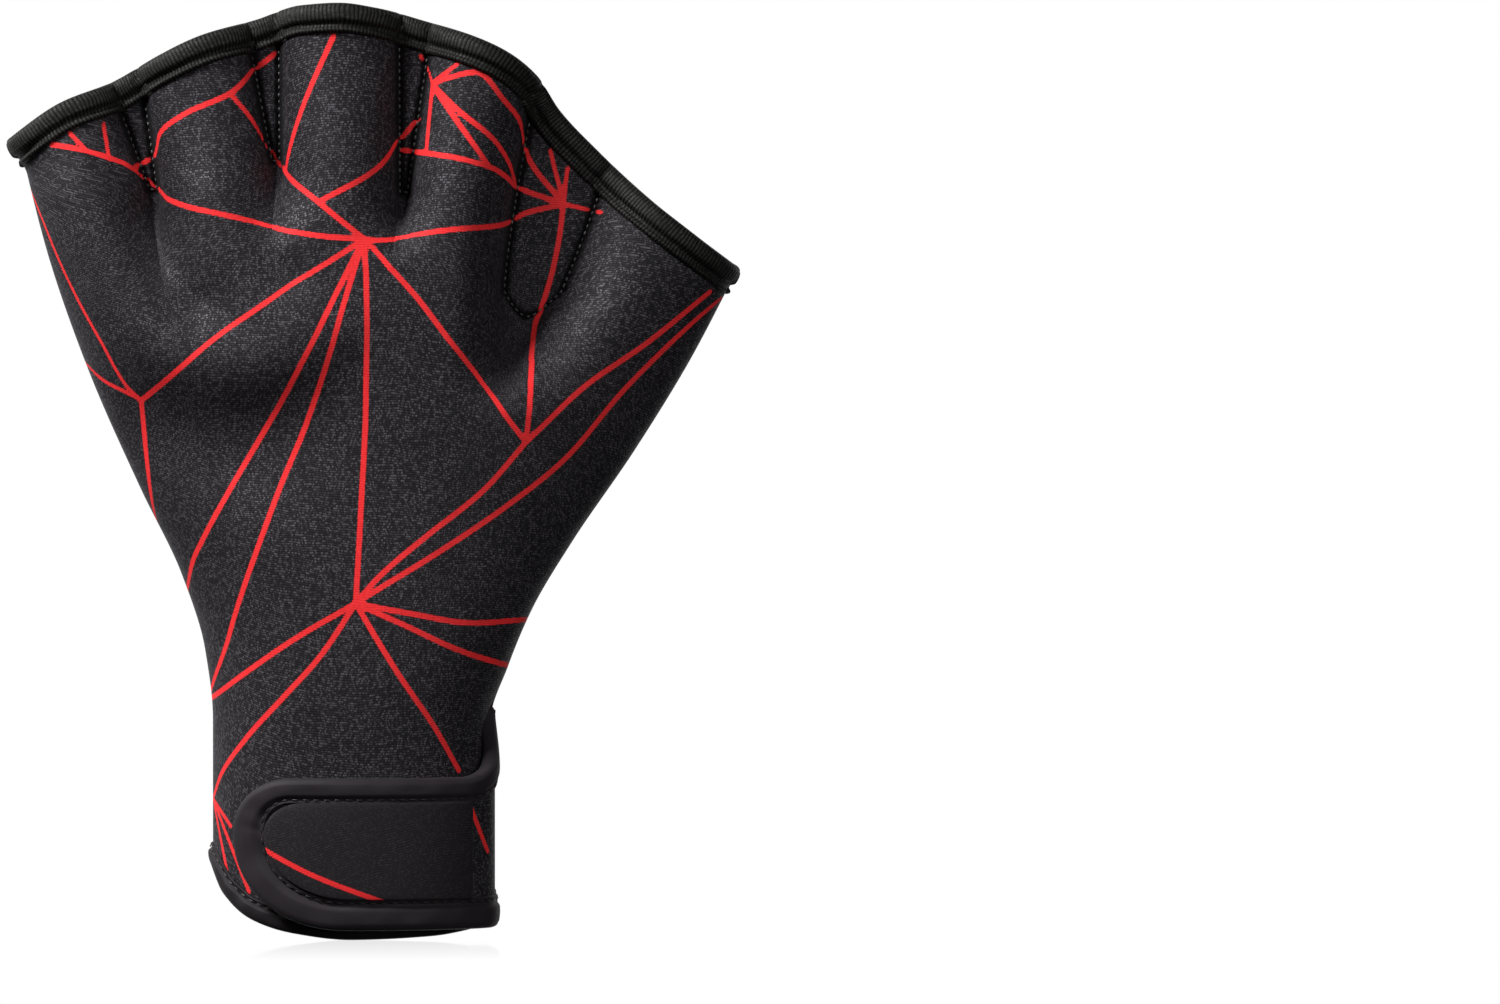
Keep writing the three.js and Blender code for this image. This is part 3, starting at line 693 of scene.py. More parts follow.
class MeshBuilder:
    """Turns numpy grids into closed meshes."""

    @staticmethod
    def _join_grid(rows: int, columns: int, base: int) -> Array:
        """Return the quads of a grid whose first vertex has the number base."""
        n = base + np.arange(rows * columns).reshape(rows, columns)
        return np.stack([n[:-1, :-1], n[:-1, 1:], n[1:, 1:], n[1:, :-1]], -1).reshape(-1, 4)

    @staticmethod
    def closed_sheet(
        name: str,
        outer: Array,
        inner: Array,
        uv: Array | None = None,
        values: dict[str, Array] | None = None,
        sharp_deg: float = 50.0,
    ) -> Object:
        """Make one closed body between two surfaces, with its four rims.

        The inner surface is on the same grid, or on every nth row and column of it.

        Args:
            name: the piece's name.
            outer: the outer surface, rows by columns by 3.
            inner: the inner surface.
            uv: the cloth's own coordinates in millimetres, rows by columns by 2.
            values: values on the outer grid, each to become a vertex attribute; the inner one takes
                the least of them.
            sharp_deg: edges that turn by more than this stay sharp.

        Returns:
            The mesh object, linked to the scene.
        """
        rows, columns = outer.shape[:2]
        within = inner.shape[:2]
        stride = (columns - 1) // (within[1] - 1)
        count = rows * columns
        points = np.concatenate([outer.reshape(-1, 3), inner.reshape(-1, 3)])
        border = MeshBuilder._border(rows, columns)
        inner_border = MeshBuilder._border(*within) + count
        after = np.roll(inner_border, -1)
        halfway = stride // 2
        rim = []
        for k in range(stride):
            start, stop = np.roll(border, -k)[::stride], np.roll(border, -k - 1)[::stride]
            if k == halfway:
                rim.append(np.stack([start, inner_border, after, stop], -1))
            else:
                rim.append(np.stack([start, inner_border if k < halfway else after, stop], -1))
        faces = [
            MeshBuilder._join_grid(rows, columns, 0),
            MeshBuilder._join_grid(*within, count)[:, ::-1],
            *rim,
        ]
        if uv is not None:
            step = slice(None, None, stride)
            uv = np.concatenate([uv.reshape(-1, 2), uv[step, step].reshape(-1, 2)])
        spread = {}
        for key, value in (values or {}).items():
            spread[key] = np.concatenate([value.ravel(), np.full(within[0] * within[1], value.min())])
        return MeshBuilder.from_faces(name, points, faces, uv, spread, sharp_deg)

    @staticmethod
    def _border(rows: int, columns: int) -> Array:
        """Return the numbers of a grid's outer vertices, in order round it."""
        n = np.arange(rows * columns).reshape(rows, columns)
        return np.concatenate([n[0], n[1:, -1], n[-1, -2::-1], n[-2:0:-1, 0]])

    @staticmethod
    def from_faces(
        name: str,
        points: Array,
        faces: Sequence[Array],
        uv: Array | None = None,
        values: dict[str, Array] | None = None,
        sharp_deg: float = 50.0,
    ) -> Object:
        """Make a mesh object of triangles and quads, turned out by the sign of its volume.

        Args:
            name: the piece's name.
            points: the vertices.
            faces: arrays of vertex numbers, one row a face.
            uv: a coordinate for each vertex.
            values: values for each vertex.
            sharp_deg: edges that turn by more than this stay sharp.

        Returns:
            The mesh object, linked to the scene.
        """
        volume = 0.0
        for group in faces:
            for k in range(1, group.shape[1] - 1):
                a, b, c = points[group[:, 0]], points[group[:, k]], points[group[:, k + 1]]
                volume += float(np.einsum("ij,ij->", a, np.cross(b, c)))
        turn = -1 if volume < 0 else 1
        corners = np.concatenate([group[:, ::turn].ravel() for group in faces]).astype(np.int32)
        sizes = np.concatenate([np.full(len(group), group.shape[1]) for group in faces])
        starts = np.concatenate([[0], np.cumsum(sizes)[:-1]]).astype(np.int32)
        mesh = bpy.data.meshes.new(name)
        mesh.vertices.add(len(points))
        mesh.vertices.foreach_set("co", points.astype(np.float32).ravel())
        mesh.loops.add(len(corners))
        mesh.loops.foreach_set("vertex_index", corners)
        mesh.polygons.add(len(sizes))
        mesh.polygons.foreach_set("loop_start", starts)
        mesh.polygons.foreach_set("use_smooth", np.ones(len(sizes), bool))
        mesh.update(calc_edges=True)
        if uv is not None:
            layer = mesh.uv_layers.new(name="cloth")
            layer.data.foreach_set("uv", uv.reshape(-1, 2)[corners].astype(np.float32).ravel())
        for key, value in (values or {}).items():
            attribute = mesh.attributes.new(key, "FLOAT", "POINT")
            attribute.data.foreach_set("value", value.astype(np.float32))
        mesh.set_sharp_from_angle(angle=np.radians(sharp_deg))
        piece = bpy.data.objects.new(name, mesh)
        bpy.context.scene.collection.objects.link(piece)
        return piece

    @staticmethod
    def arc_uv(points: Array, middle: int) -> Array:
        """Return the cloth's own coordinates in millimetres: lengths along rows and up columns.

        Args:
            points: the surface, rows by columns by 3.
            middle: the column from which lengths along the rows are counted.

        Returns:
            Rows by columns by 2.
        """
        along = np.linalg.norm(np.diff(points, axis=1), axis=-1)
        up = np.linalg.norm(np.diff(points, axis=0), axis=-1)
        u = np.pad(np.cumsum(along, axis=1), ((0, 0), (1, 0)))
        v = np.pad(np.cumsum(up, axis=0), ((1, 0), (0, 0)))
        return np.stack([u - u[:, middle : middle + 1], v], -1) / MM


def register(piece: Object, slot: str, material: Material, *nodes: str) -> None:
    """Dress a piece, let it ride on the glove and hide the CAD nodes that it stands for.

    Args:
        piece: the object.
        slot: the name of its material slot, which is only logged.
        material: its finish.
        nodes: the CAD nodes that it replaces.
    """
    piece.data.materials.append(material)
    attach(piece, "root")
    if nodes:
        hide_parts(*nodes)
    LOG.info("%s: %d faces, %s", piece.name, len(piece.data.polygons), slot)


@dataclass(frozen=True)
class LineArt:
    """The red lines printed on the back: chains of points seen from the front.

    The points are pixels of the photograph, the wrist's axis and the ground line are at axis_px and
    ground_px, and scale is the length of a pixel. TOP to WEB are the points where lines meet. reach
    is how many half-widths from a line points are still looked at.
    """

    scale: float = 0.212 * MM
    axis_px: float = 352.0
    ground_px: float = 935.5
    half_width: float = 0.57 * MM
    fine_half_width: float = 0.45 * MM
    step: float = 0.55 * MM
    block: int = 16
    reach: float = 3.0

    TOP = (365, 240)
    LOW = (358, 601)
    LEFT = (145, 398)
    RIGHT = (525, 441)
    INDEX = (435, 84)
    WEB = (562, 204)
    WIDE = (
        (LEFT, (230, 330), (300, 282), TOP),
        (TOP, (303, 363), (268, 427), (236, 484), (209, 534), (197, 561), (191, 592)),
        (
            TOP, (330, 355), (308, 425), (284, 484), (257, 559), (241, 608), (231, 644),
            (218, 682), (213, 700),
        ),
        (TOP, (368, 280), (368, 398), (363, 510), LOW),
        (TOP, (418, 297), (440, 326), (482, 384), RIGHT),
        (TOP, (295, 233), (228, 216), (174, 200), (153, 185), (134, 171), (88, 153), (54, 145)),
        ((134, 168), (155, 154), (163, 134), (187, 115), (230, 94), (252, 72), (279, 51)),
        ((230, 95), (260, 134), (270, 150), (287, 172), (323, 204), TOP),
        ((335, 37), (308, 104), (287, 171)),
        ((323, 202), (375, 169), (397, 143), (419, 119)),
        (TOP, (380, 242), (452, 230), (511, 222), (523, 214), WEB),
        (INDEX, (477, 73), (501, 99), (521, 128), (528, 157), WEB),
        (INDEX, (430, 153)),
        (INDEX, (487, 167)),
        (INDEX, (460, 111), (494, 143), (516, 182)),
        ((400, 150), (430, 154), (487, 167), (521, 189), WEB),
        (WEB, (559, 230), (552, 267), (540, 310), (535, 328), (530, 396), RIGHT),
        (RIGHT, (586, 384), (647, 341), (707, 291)),
        (RIGHT, (484, 488), (428, 534), (380, 576), LOW),
        (LOW, (441, 549), (501, 508), (562, 459), (622, 389), (683, 328), (717, 297)),
        (LOW, (410, 611), (473, 621), (530, 617)),
        (LOW, (402, 621), (461, 649), (508, 665)),
        (LOW, (397, 667), (435, 726), (457, 768)),
        (LOW, (302, 634), (251, 670), (213, 700)),
        (LOW, (323, 654), (287, 695), (251, 736), (226, 774), (218, 798)),
        (LEFT, (150, 451), (158, 508), (171, 550)),
    )
    FINE = (
        (INDEX, (421, 56)),
        (INDEX, (460, 65)),
        (WEB, (550, 150)),
        (WEB, (567, 167)),
        (WEB, (603, 213)),
        (LEFT, (131, 384), (107, 342), (83, 299), (64, 260), (48, 222), (25, 166)),
        (LEFT, (134, 392), (107, 378), (86, 358)),
        ((71, 134), (86, 151)),
        ((102, 125), (108, 161)),
        ((218, 798), (214, 767)),
        ((218, 798), (236, 824)),
        ((218, 798), (234, 878)),
        ((218, 798), (254, 889)),
    )
    STRAP_LINE = ((470, 795), (490, 849))
    PATCH_LINE = ((258, 839), (315, 869), (392, 899))

    def chains(self) -> list[tuple[float, Chain]]:
        """Return each line on the back panel as its half-width and its points."""
        groups = ((self.half_width, self.WIDE), (self.fine_half_width, self.FINE))
        return [(half_width, chain) for half_width, group in groups for chain in group]

    def place(self, chain: Chain) -> tuple[Array, Array]:
        """Lay a smooth line through a chain's points, at even steps.

        Args:
            chain: the points, as pixels.

        Returns:
            The line's x and its heights.
        """
        px = np.asarray(chain, float)
        x = (px[:, 0] - self.axis_px) * self.scale
        z = (self.ground_px - px[:, 1]) * self.scale
        run = lengths(np.stack([x, z], -1))
        at = np.linspace(0, run[-1], max(2, int(run[-1] / self.step) + 1))
        return Curve(run, x)(at), Curve(run, z)(at)

    def ink(self, points: Array, lines: Sequence[tuple[Array, float]]) -> Array:
        """Return how deep each point lies inside the nearest line, in millimetres.

        It is the line's half-width less the distance to its nearest stretch, the largest of all. A
        line is looked at in short blocks, each only against the points that lie near it.

        Args:
            points: the points, any shape by 3.
            lines: each line's points on the surface and its half-width.

        Returns:
            Values above 0 inside a line.
        """
        flat = points.reshape(-1, 3)
        best = np.full(len(flat), -np.inf)
        for line, half_width in lines:
            reach = self.reach * half_width
            for first in range(0, len(line) - 1, self.block):
                stretch = line[first : first + self.block + 1]
                low, high = stretch.min(0) - reach, stretch.max(0) + reach
                near = np.flatnonzero(np.all((flat > low) & (flat < high), axis=1))
                start, run = stretch[:-1][None], np.diff(stretch, axis=0)[None]
                gap = flat[near][:, None] - start
                share = np.clip(np.sum(gap * run, -1) / np.maximum(np.sum(run * run, -1), 1e-14), 0, 1)
                off = np.linalg.norm(gap - share[..., None] * run, axis=-1).min(axis=1)
                best[near] = np.maximum(best[near], half_width - off)
        return np.maximum(best, -1 * MM).reshape(points.shape[:-1]) / MM


@dataclass
class Panel:
    """A neoprene panel: two jersey faces 2 mm apart, over the back or the palm of the hand.

    part_steps are the grid's columns in each finger and web, and rows its rows. The stitches draw
    the cloth in by pucker, and the seam's gain is how much the attribute seam widens their lines;
    that attribute is a mask of painted shade, which darkens the cloth along the stitched grooves.
    """

    form: GloveForm
    side: Side
    name: str
    part_steps: Sequence[int] = (56, 16, 40, 16, 40, 16, 40, 24, 56)
    rows: int = 301
    pucker: float = 0.8 * MM
    pucker_width: float = 1.05 * MM
    inner_stride: int = 4
    stitch_pitch: float = 2.8 * MM
    seam_shade_gain: float = 1.4

    def columns(self) -> Array:
        """Return the grid's columns, evenly set in each finger and web."""
        runs = [part + np.arange(steps) / steps for part, steps in enumerate(self.part_steps)]
        return np.concatenate([*runs, [self.form.PARTS]])

    def grid(self) -> tuple[Array, Array]:
        """Lay the grid from the hem to the finger edge.

        Returns:
            The column and the height of each of its points.
        """
        column = self.columns()
        share = np.linspace(0, 1, self.rows)[:, None]
        hem, edge = self.form.hem(self.side, column), self.form.edge(self.side, column)
        z = lerp(hem[None], edge[None], share)
        return np.broadcast_to(column, z.shape), z

    def _puckers(self, stitched: Array, z: Array) -> Array:
        """Return how far the stitches draw the cloth in: beads of a cosine along their lines."""
        beads = 0.75 + 0.25 * np.cos(2 * np.pi * z / self.stitch_pitch)
        return self.pucker * stitched * beads

    def _stitched(self, column: Array, z: Array) -> Array:
        """Return 1 on the stitched lines round the webs, fading by a bell to both sides.

        Args:
            column: the columns.
            z: the heights.

        Returns:
            The largest value over the two seams and the foot of each web.
        """
        x = self.form.column_x(column, z)
        out = np.zeros_like(z)
        for index, web in enumerate(self.form.webs):
            low = web.foot[1] + web.round
            west, east = self.form.web_line(index, -0.5, z), self.form.web_line(index, 0.5, z)
            for seam in (west, east):
                here = bell(x - seam, self.pucker_width) * smoothstep((z - low) / MM + 1)
                out = np.maximum(out, here)
            across = np.clip((x - west) / (east - west), 0, 1)
            bottom = web.foot[1] + web.rounding(across)
            off = np.hypot(z - bottom, np.maximum(np.maximum(west - x, x - east), 0))
            out = np.maximum(out, bell(off, self.pucker_width))
        return out

    def build(self, art: LineArt | None = None) -> Object:
        """Make the panel, with the depth inside its printed lines as the attribute ink.

        Args:
            art: the printed lines, or None for a plain panel.

        Returns:
            The panel's object.
        """
        column, z = self.grid()
        stitched = self._stitched(column, z)
        point, normal = self.form.skin(self.side, column, z)
        point = point - normal * self._puckers(stitched, z)[..., None]
        outer = point + normal * self.form.wall / 2
        step = slice(None, None, self.inner_stride)
        inner = (point - normal * self.form.wall / 2)[step, step]
        # The attribute seam masks painted shade: the jersey is darkened and roughened along the stitched
        # grooves.
        values = {"seam": smoothstep(self.seam_shade_gain * stitched)}
        if art:
            values["ink"] = art.ink(outer, self._lines(art))
        uv = MeshBuilder.arc_uv(outer, outer.shape[1] // 2)
        return MeshBuilder.closed_sheet(self.name, outer, inner, uv, values)

    def _lines(self, art: LineArt) -> list[tuple[Array, float]]:
        """Lay the art's lines on the panel's outer surface.

        Args:
            art: the printed lines.

        Returns:
            Each line's points, and its half-width.
        """
        lines = []
        for half_width, chain in art.chains():
            x, z = art.place(chain)
            point, normal = self.form.skin(self.side, self.form.column_at(self.side, x, z), z)
            lines.append((point + normal * self.form.wall / 2, half_width))
        return lines


@dataclass(frozen=True)
class TapeSection:
    """The section of a tape folded over an edge, from the end of its outer leg to that of its inner.

    n is out from the middle of what it wraps, and e is past its edge.
    """

    wrapped: float
    leg: float
    inner_leg: float
    gap: float = 0.06 * MM
    tape: float = 0.6 * MM
    cap: float = 0.9 * MM
    roll: float = 0.7 * MM
    lip: float = 1.5 * MM
    lip_height: float = 0.75 * MM
    lip_start: float = 0.1 * MM
    groove: float = 0.6 * MM
    groove_depth: float = 0.5 * MM
    flatness: float = 0.6

    LIP_STEPS = 7
    ROLL_STEPS = 12
    CAP_STEPS = 8
    INNER_STEPS = 4
    LIP_FLATNESS = 0.8
    GROOVE_SHARE = 0.25

    def lines(self) -> tuple[Array, Array]:
        """Draw the section: a lip and a roll, half sine waves on the leg, and half an ellipse as its cap.

        Returns:
            The outer line and the inner one, each a list of (n, e) of the same count.
        """
        face = self.wrapped / 2
        near = face + self.gap
        far = near + self.tape
        groove_at = -self.leg + self.lip
        roll_from = groove_at + self.groove
        t = np.linspace(0, 1, self.LIP_STEPS)
        bulge = self.lip_height * np.sin(np.pi * t) ** self.LIP_FLATNESS
        lip = np.stack([near + self.lip_start + bulge, -self.leg + self.lip * t], -1)
        t = np.linspace(0, 1, self.ROLL_STEPS + 1)[:-1]
        swell = self.roll * np.sin(np.pi * t) ** self.flatness
        dip = self.groove_depth * (1 - smoothstep(t / self.GROOVE_SHARE))
        roll = np.stack([far - dip + swell, roll_from * (1 - t)], -1)
        angle = np.linspace(0, np.pi, self.CAP_STEPS + 1)
        cap = np.stack([far * np.cos(angle), self.cap * np.sin(angle)], -1)
        t = np.linspace(0, 1, self.INNER_STEPS + 1)[1:]
        inner = np.stack([np.full_like(t, -far), -self.inner_leg * t], -1)
        outside = np.concatenate([lip, roll, cap, inner])
        depth = np.minimum(outside[:, 1], self.gap)
        inside = np.stack([np.clip(outside[:, 0], -near, near), depth], -1)
        return outside, inside

    def wrap(self, name: str, carry: Callable[[Array, bool], Array]) -> Object:
        """Make a tape by carrying the section along its path.

        Args:
            name: the piece's name.
            carry: gives the points of one of the section's lines at each place on the path, from the
                line and whether it is the outer one.

        Returns:
            The tape, whose cloth coordinates are the lengths along it and round its section.
        """
        outside, inside = self.lines()
        outer, inner = carry(outside, True), carry(inside, False)
        run, across = lengths(outer[0]), lengths(outside)
        uv = np.stack(np.broadcast_arrays(run[None] / MM, across[:, None] / MM), -1)
        return MeshBuilder.closed_sheet(name, outer, inner, uv, sharp_deg=60)


@dataclass
class FingerBinding:
    """Ribbed elastic tape over one panel's finger edge, with a lip along its inner edge.

    spacing is the grid's step along the edge, and pinch how far the tape is drawn in at each web.
    WAVES holds the length and the start of the two waves that make it ripple, and TAIL is how many
    smooth_runs away a place still counts when directions are averaged.
    """

    form: GloveForm
    side: Side
    name: str
    section: TapeSection
    spacing: float = 0.55 * MM
    pinch: float = 0.55 * MM
    pinch_width: float = 0.8 * MM
    ripple: float = 0.1 * MM
    smooth_run: float = 5 * MM

    PATH_STEPS = 3601
    TAIL = 2.5
    WAVES = ((5.2 * MM, 0.0), (3.1 * MM, 1.3))

    def path(self) -> Array:
        """Space columns evenly along the finger edge.

        Returns:
            The columns.
        """
        dense = np.linspace(0, self.form.PARTS, self.PATH_STEPS)
        run = lengths(self.form.middle(self.side, dense, self.form.edge(self.side, dense)))
        at = np.linspace(0, run[-1], int(run[-1] / self.spacing))
        return np.interp(at, run, dense)

    def build(self) -> Object:
        """Make the tape: its section stands square to the edge and follows the cloth inwards."""
        column = self.path()
        return self.section.wrap(self.name, lambda line, shown: self._carry(column, line, shown))

    def _carry(self, column: Array, section: Array, shown: bool) -> Array:
        """Carry a line of the section along the edge.

        A step e inwards is taken square to the edge as seen from the front, and its depth is the
        cloth's. Past the edge the section runs on the way that its last millimetre does.

        Args:
            column: the columns of the places on the edge.
            section: the line's (n, e).
            shown: whether it is the outer line, which is drawn in at the webs.

        Returns:
            Points, the line's by places by 3.
        """
        form, side = self.form, self.side
        z = form.edge(side, column)
        point = form.middle(side, column, z)
        along = unit(np.gradient(point[:, [0, 2]], axis=0))
        out = np.stack([-along[:, 1], along[:, 0]], -1)
        n, e = section[:, 0][:, None, None], section[:, 1][:, None]
        body, face = self._inwards(point, out, np.minimum(e, 0))
        back, _ = self._inwards(point, out, np.full((1, 1), -1 * MM))
        outward = self._smoothed(unit(point[None] - back))
        if shown:
            squeeze = self._pinch(column, point)[None, :, None]
            n = np.where(n > 0, n - squeeze, n)
        return body + np.maximum(e, 0)[..., None] * outward + n * self._smoothed(face)

    def _inwards(self, point: Array, out: Array, e: Array) -> tuple[Array, Array]:
        """Return the cloth's points at steps e from the edge, and the directions to its face.

        Args:
            point: the edge's points.
            out: the (x, z) directions out of the edge.
            e: the steps, negative inwards, one row each.

        Returns:
            Points and directions, steps by places by 3.
        """
        form, side = self.form, self.side
        x = point[None, :, 0] + e * out[None, :, 0]
        z = point[None, :, 2] + e * out[None, :, 1]
        column = form.column_at(side, x, z)
        z = np.minimum(z, form.edge(side, column))
        return form.surface(side, column, z)

    def _smoothed(self, direction: Array) -> Array:
        """Average directions along the tape by a bell, as it is too stiff to follow every crease.

        Args:
            direction: the directions, lines by places by 3.

        Returns:
            Unit directions.
        """
        reach = int(self.TAIL * self.smooth_run / self.spacing)
        weights = bell(np.arange(-reach, reach + 1) * self.spacing, self.smooth_run)
        padded = np.pad(direction, ((0, 0), (reach, reach), (0, 0)), mode="edge")
        views = np.lib.stride_tricks.sliding_window_view(padded, len(weights), axis=1)
        return unit(views @ weights)

    def _pinch(self, column: Array, point: Array) -> Array:
        """Tell how far the tape is drawn in: a bell at each web's two seams, and two waves.

        Args:
            column: the columns of the places on the edge.
            point: the places' points.

        Returns:
            The distance at each place.
        """
        out = np.zeros(len(column))
        for seam in range(1, self.form.PARTS):
            here = point[np.argmin(np.abs(column - seam))]
            out = out + self.pinch * bell(np.linalg.norm(point - here, axis=1), self.pinch_width)
        waves = sum(np.sin(lengths(point) / length + start) for length, start in self.WAVES)
        return out + self.ripple * waves


class UnrolledCuff:
    """The cuff unrolled: a place along it, a height and an offset outwards give a point in space.

    It starts at the thumb's side, runs over the back of the wrist and returns along the palm.
    """

    STEPS = 1440

    def __init__(self, form: GloveForm, lift: Callable[[Array], Array]) -> None:
        """Work out the curve, its lengths and its normals.

        Args:
            form: the glove's form.
            lift: how far the curve is raised off the panels, by the length along the panels.
        """
        angle = np.linspace(0, 2 * np.pi, self.STEPS + 1)
        _, right = form.sides(0.0)
        opened = (form.wrist_depth - form.wall - form.seam_gap) / 2
        sine = np.sin(angle)
        half = np.where(angle < np.pi, 1.0, -1.0) * form.side_gap / 2
        base = np.stack([right * np.cos(angle), -opened * sine - half], -1)
        self.angle = angle
        self.curve = base + self._normals(base) * lift(lengths(base))[:, None]
        self.normal = self._normals(self.curve)
        self.length = lengths(self.curve)

    @staticmethod
    def _normals(points: Array) -> Array:
        """Return a plane line's outward normals."""
        slope = np.gradient(points, axis=0)
        return unit(np.stack([-slope[:, 1], slope[:, 0]], -1))

    def across(self, a: Array) -> Array:
        """Return the share of the cuff's width, from the little finger's side, at lengths a."""
        return (1 + np.cos(np.interp(a, self.length, self.angle))) / 2

    def length_at(self, angle: float) -> float:
        """Return the length up to an angle round the wrist."""
        return float(np.interp(angle, self.angle, self.length))

    def point(self, a: Array, z: Array, n: Array | float) -> Array:
        """Roll places back into space; before the start the cuff runs on straight.

        Args:
            a: the lengths along the cuff.
            z: the heights.
            n: the offsets outwards.

        Returns:
            A point for each.
        """
        a, z, n = np.broadcast_arrays(np.asarray(a, float), np.asarray(z, float), np.asarray(n, float))
        x, y = (np.interp(a, self.length, self.curve[:, k]) for k in range(2))
        nx, ny = (np.interp(a, self.length, self.normal[:, k]) for k in range(2))
        short = np.minimum(a, 0)
        return np.stack([x + n * nx, y + n * ny - short, z], -1)

    def length_of_x(self, x: Array) -> Array:
        """Return the lengths over the back of the wrist at which the curve has the given x."""
        half = len(self.angle) // 2
        return np.interp(-x, -self.curve[:half, 0], self.length[:half])


@dataclass
class CuffTape:
    """A smooth tape wrapped round a line drawn on the unrolled cuff.

    line holds the length along the cuff and the height of each place, and width how wide the outer
    leg is there, if that isn't the section's own. The section stands square to the line on its
    right-hand side, and its legs taper where they would pass the starting seam. WAVES holds the turn
    at each place of the two waves that make the tape uneven.
    """

    name: str
    cuff: UnrolledCuff
    line: Array
    section: TapeSection
    width: Array | None = None
    taper_end: float = 0.3
    wobble: float = 0.16 * MM
    wobble_run: float = 2 * MM

    WAVES = (0.35, 0.117)

    def __post_init__(self) -> None:
        """Fill in the width where none is given."""
        if self.width is None:
            self.width = np.full(len(self.line), self.section.leg)

    def build(self) -> Object:
        """Make the tape's object."""
        return self.section.wrap(self.name, lambda line, _: self._carry(line))

    def _frame(self) -> tuple[Array, Array]:
        """Work out how the section stands on the line.

        Returns:
            The line's unit direction and the direction out of the edge, at each place.
        """
        run = unit(np.gradient(self.line, axis=0))
        out = np.stack([run[:, 1], -run[:, 0]], -1)
        for end in (0, -1):
            out[end] = (0, -np.sign(run[end, 0]))
        return run, out

    def _carry(self, section: Array) -> Array:
        """Carry a line of the section along the tape's own line.

        Args:
            section: the line's (n, e).

        Returns:
            Points, the line's by places by 3.
        """
        run, out = self._frame()
        a, z = self.line[:, 0], self.line[:, 1]
        seam = a[0]
        with np.errstate(divide="ignore", invalid="ignore"):
            room = np.where(run[:, 1] > 1e-6, (a - seam) / (self.section.leg * run[:, 1]), 1.0)
        taper = np.clip(room, self.taper_end, 1)
        n, e = section[:, 0][:, None], section[:, 1][:, None]
        taper = np.where(n > 0, taper * (self.width / self.section.leg), taper)
        shown = np.where(e < 0, e * taper, e)
        short, long = (np.sin(np.arange(len(a)) * turn) for turn in self.WAVES)
        wave = self.wobble * short * long * np.clip(-e / self.wobble_run, 0, 1)
        lift = np.where(n > 0, n + wave, n)
        return self.cuff.point(np.maximum(seam, a + shown * out[:, 0]), z + shown * out[:, 1], lift)

    def inset_line(self, depth: float, trim: float) -> Array:
        """Move the line inwards.

        Args:
            depth: how far inwards, where the outer leg has the section's own width.
            trim: the length left out at both ends.

        Returns:
            The (a, z) of the places that are kept.
        """
        _, out = self._frame()
        inwards = depth + (self.width - self.section.leg)
        places = self.line - inwards[:, None] * out
        places[:, 0] = np.maximum(places[:, 0], self.line[0, 0])
        run = lengths(places)
        return places[(run > trim) & (run < run[-1] - trim)]


@dataclass(frozen=True)
class Inset:
    """How far a layer of the strap is drawn in from its tip, its lower edge and its upper edge."""

    tip: float = 0.0
    lower: float = 0.0
    upper: float = 0.0

    def less(self, margin: float) -> "Inset":
        """Return an inset smaller by a margin all round."""
        return Inset(self.tip - margin, self.lower - margin, self.upper - margin)


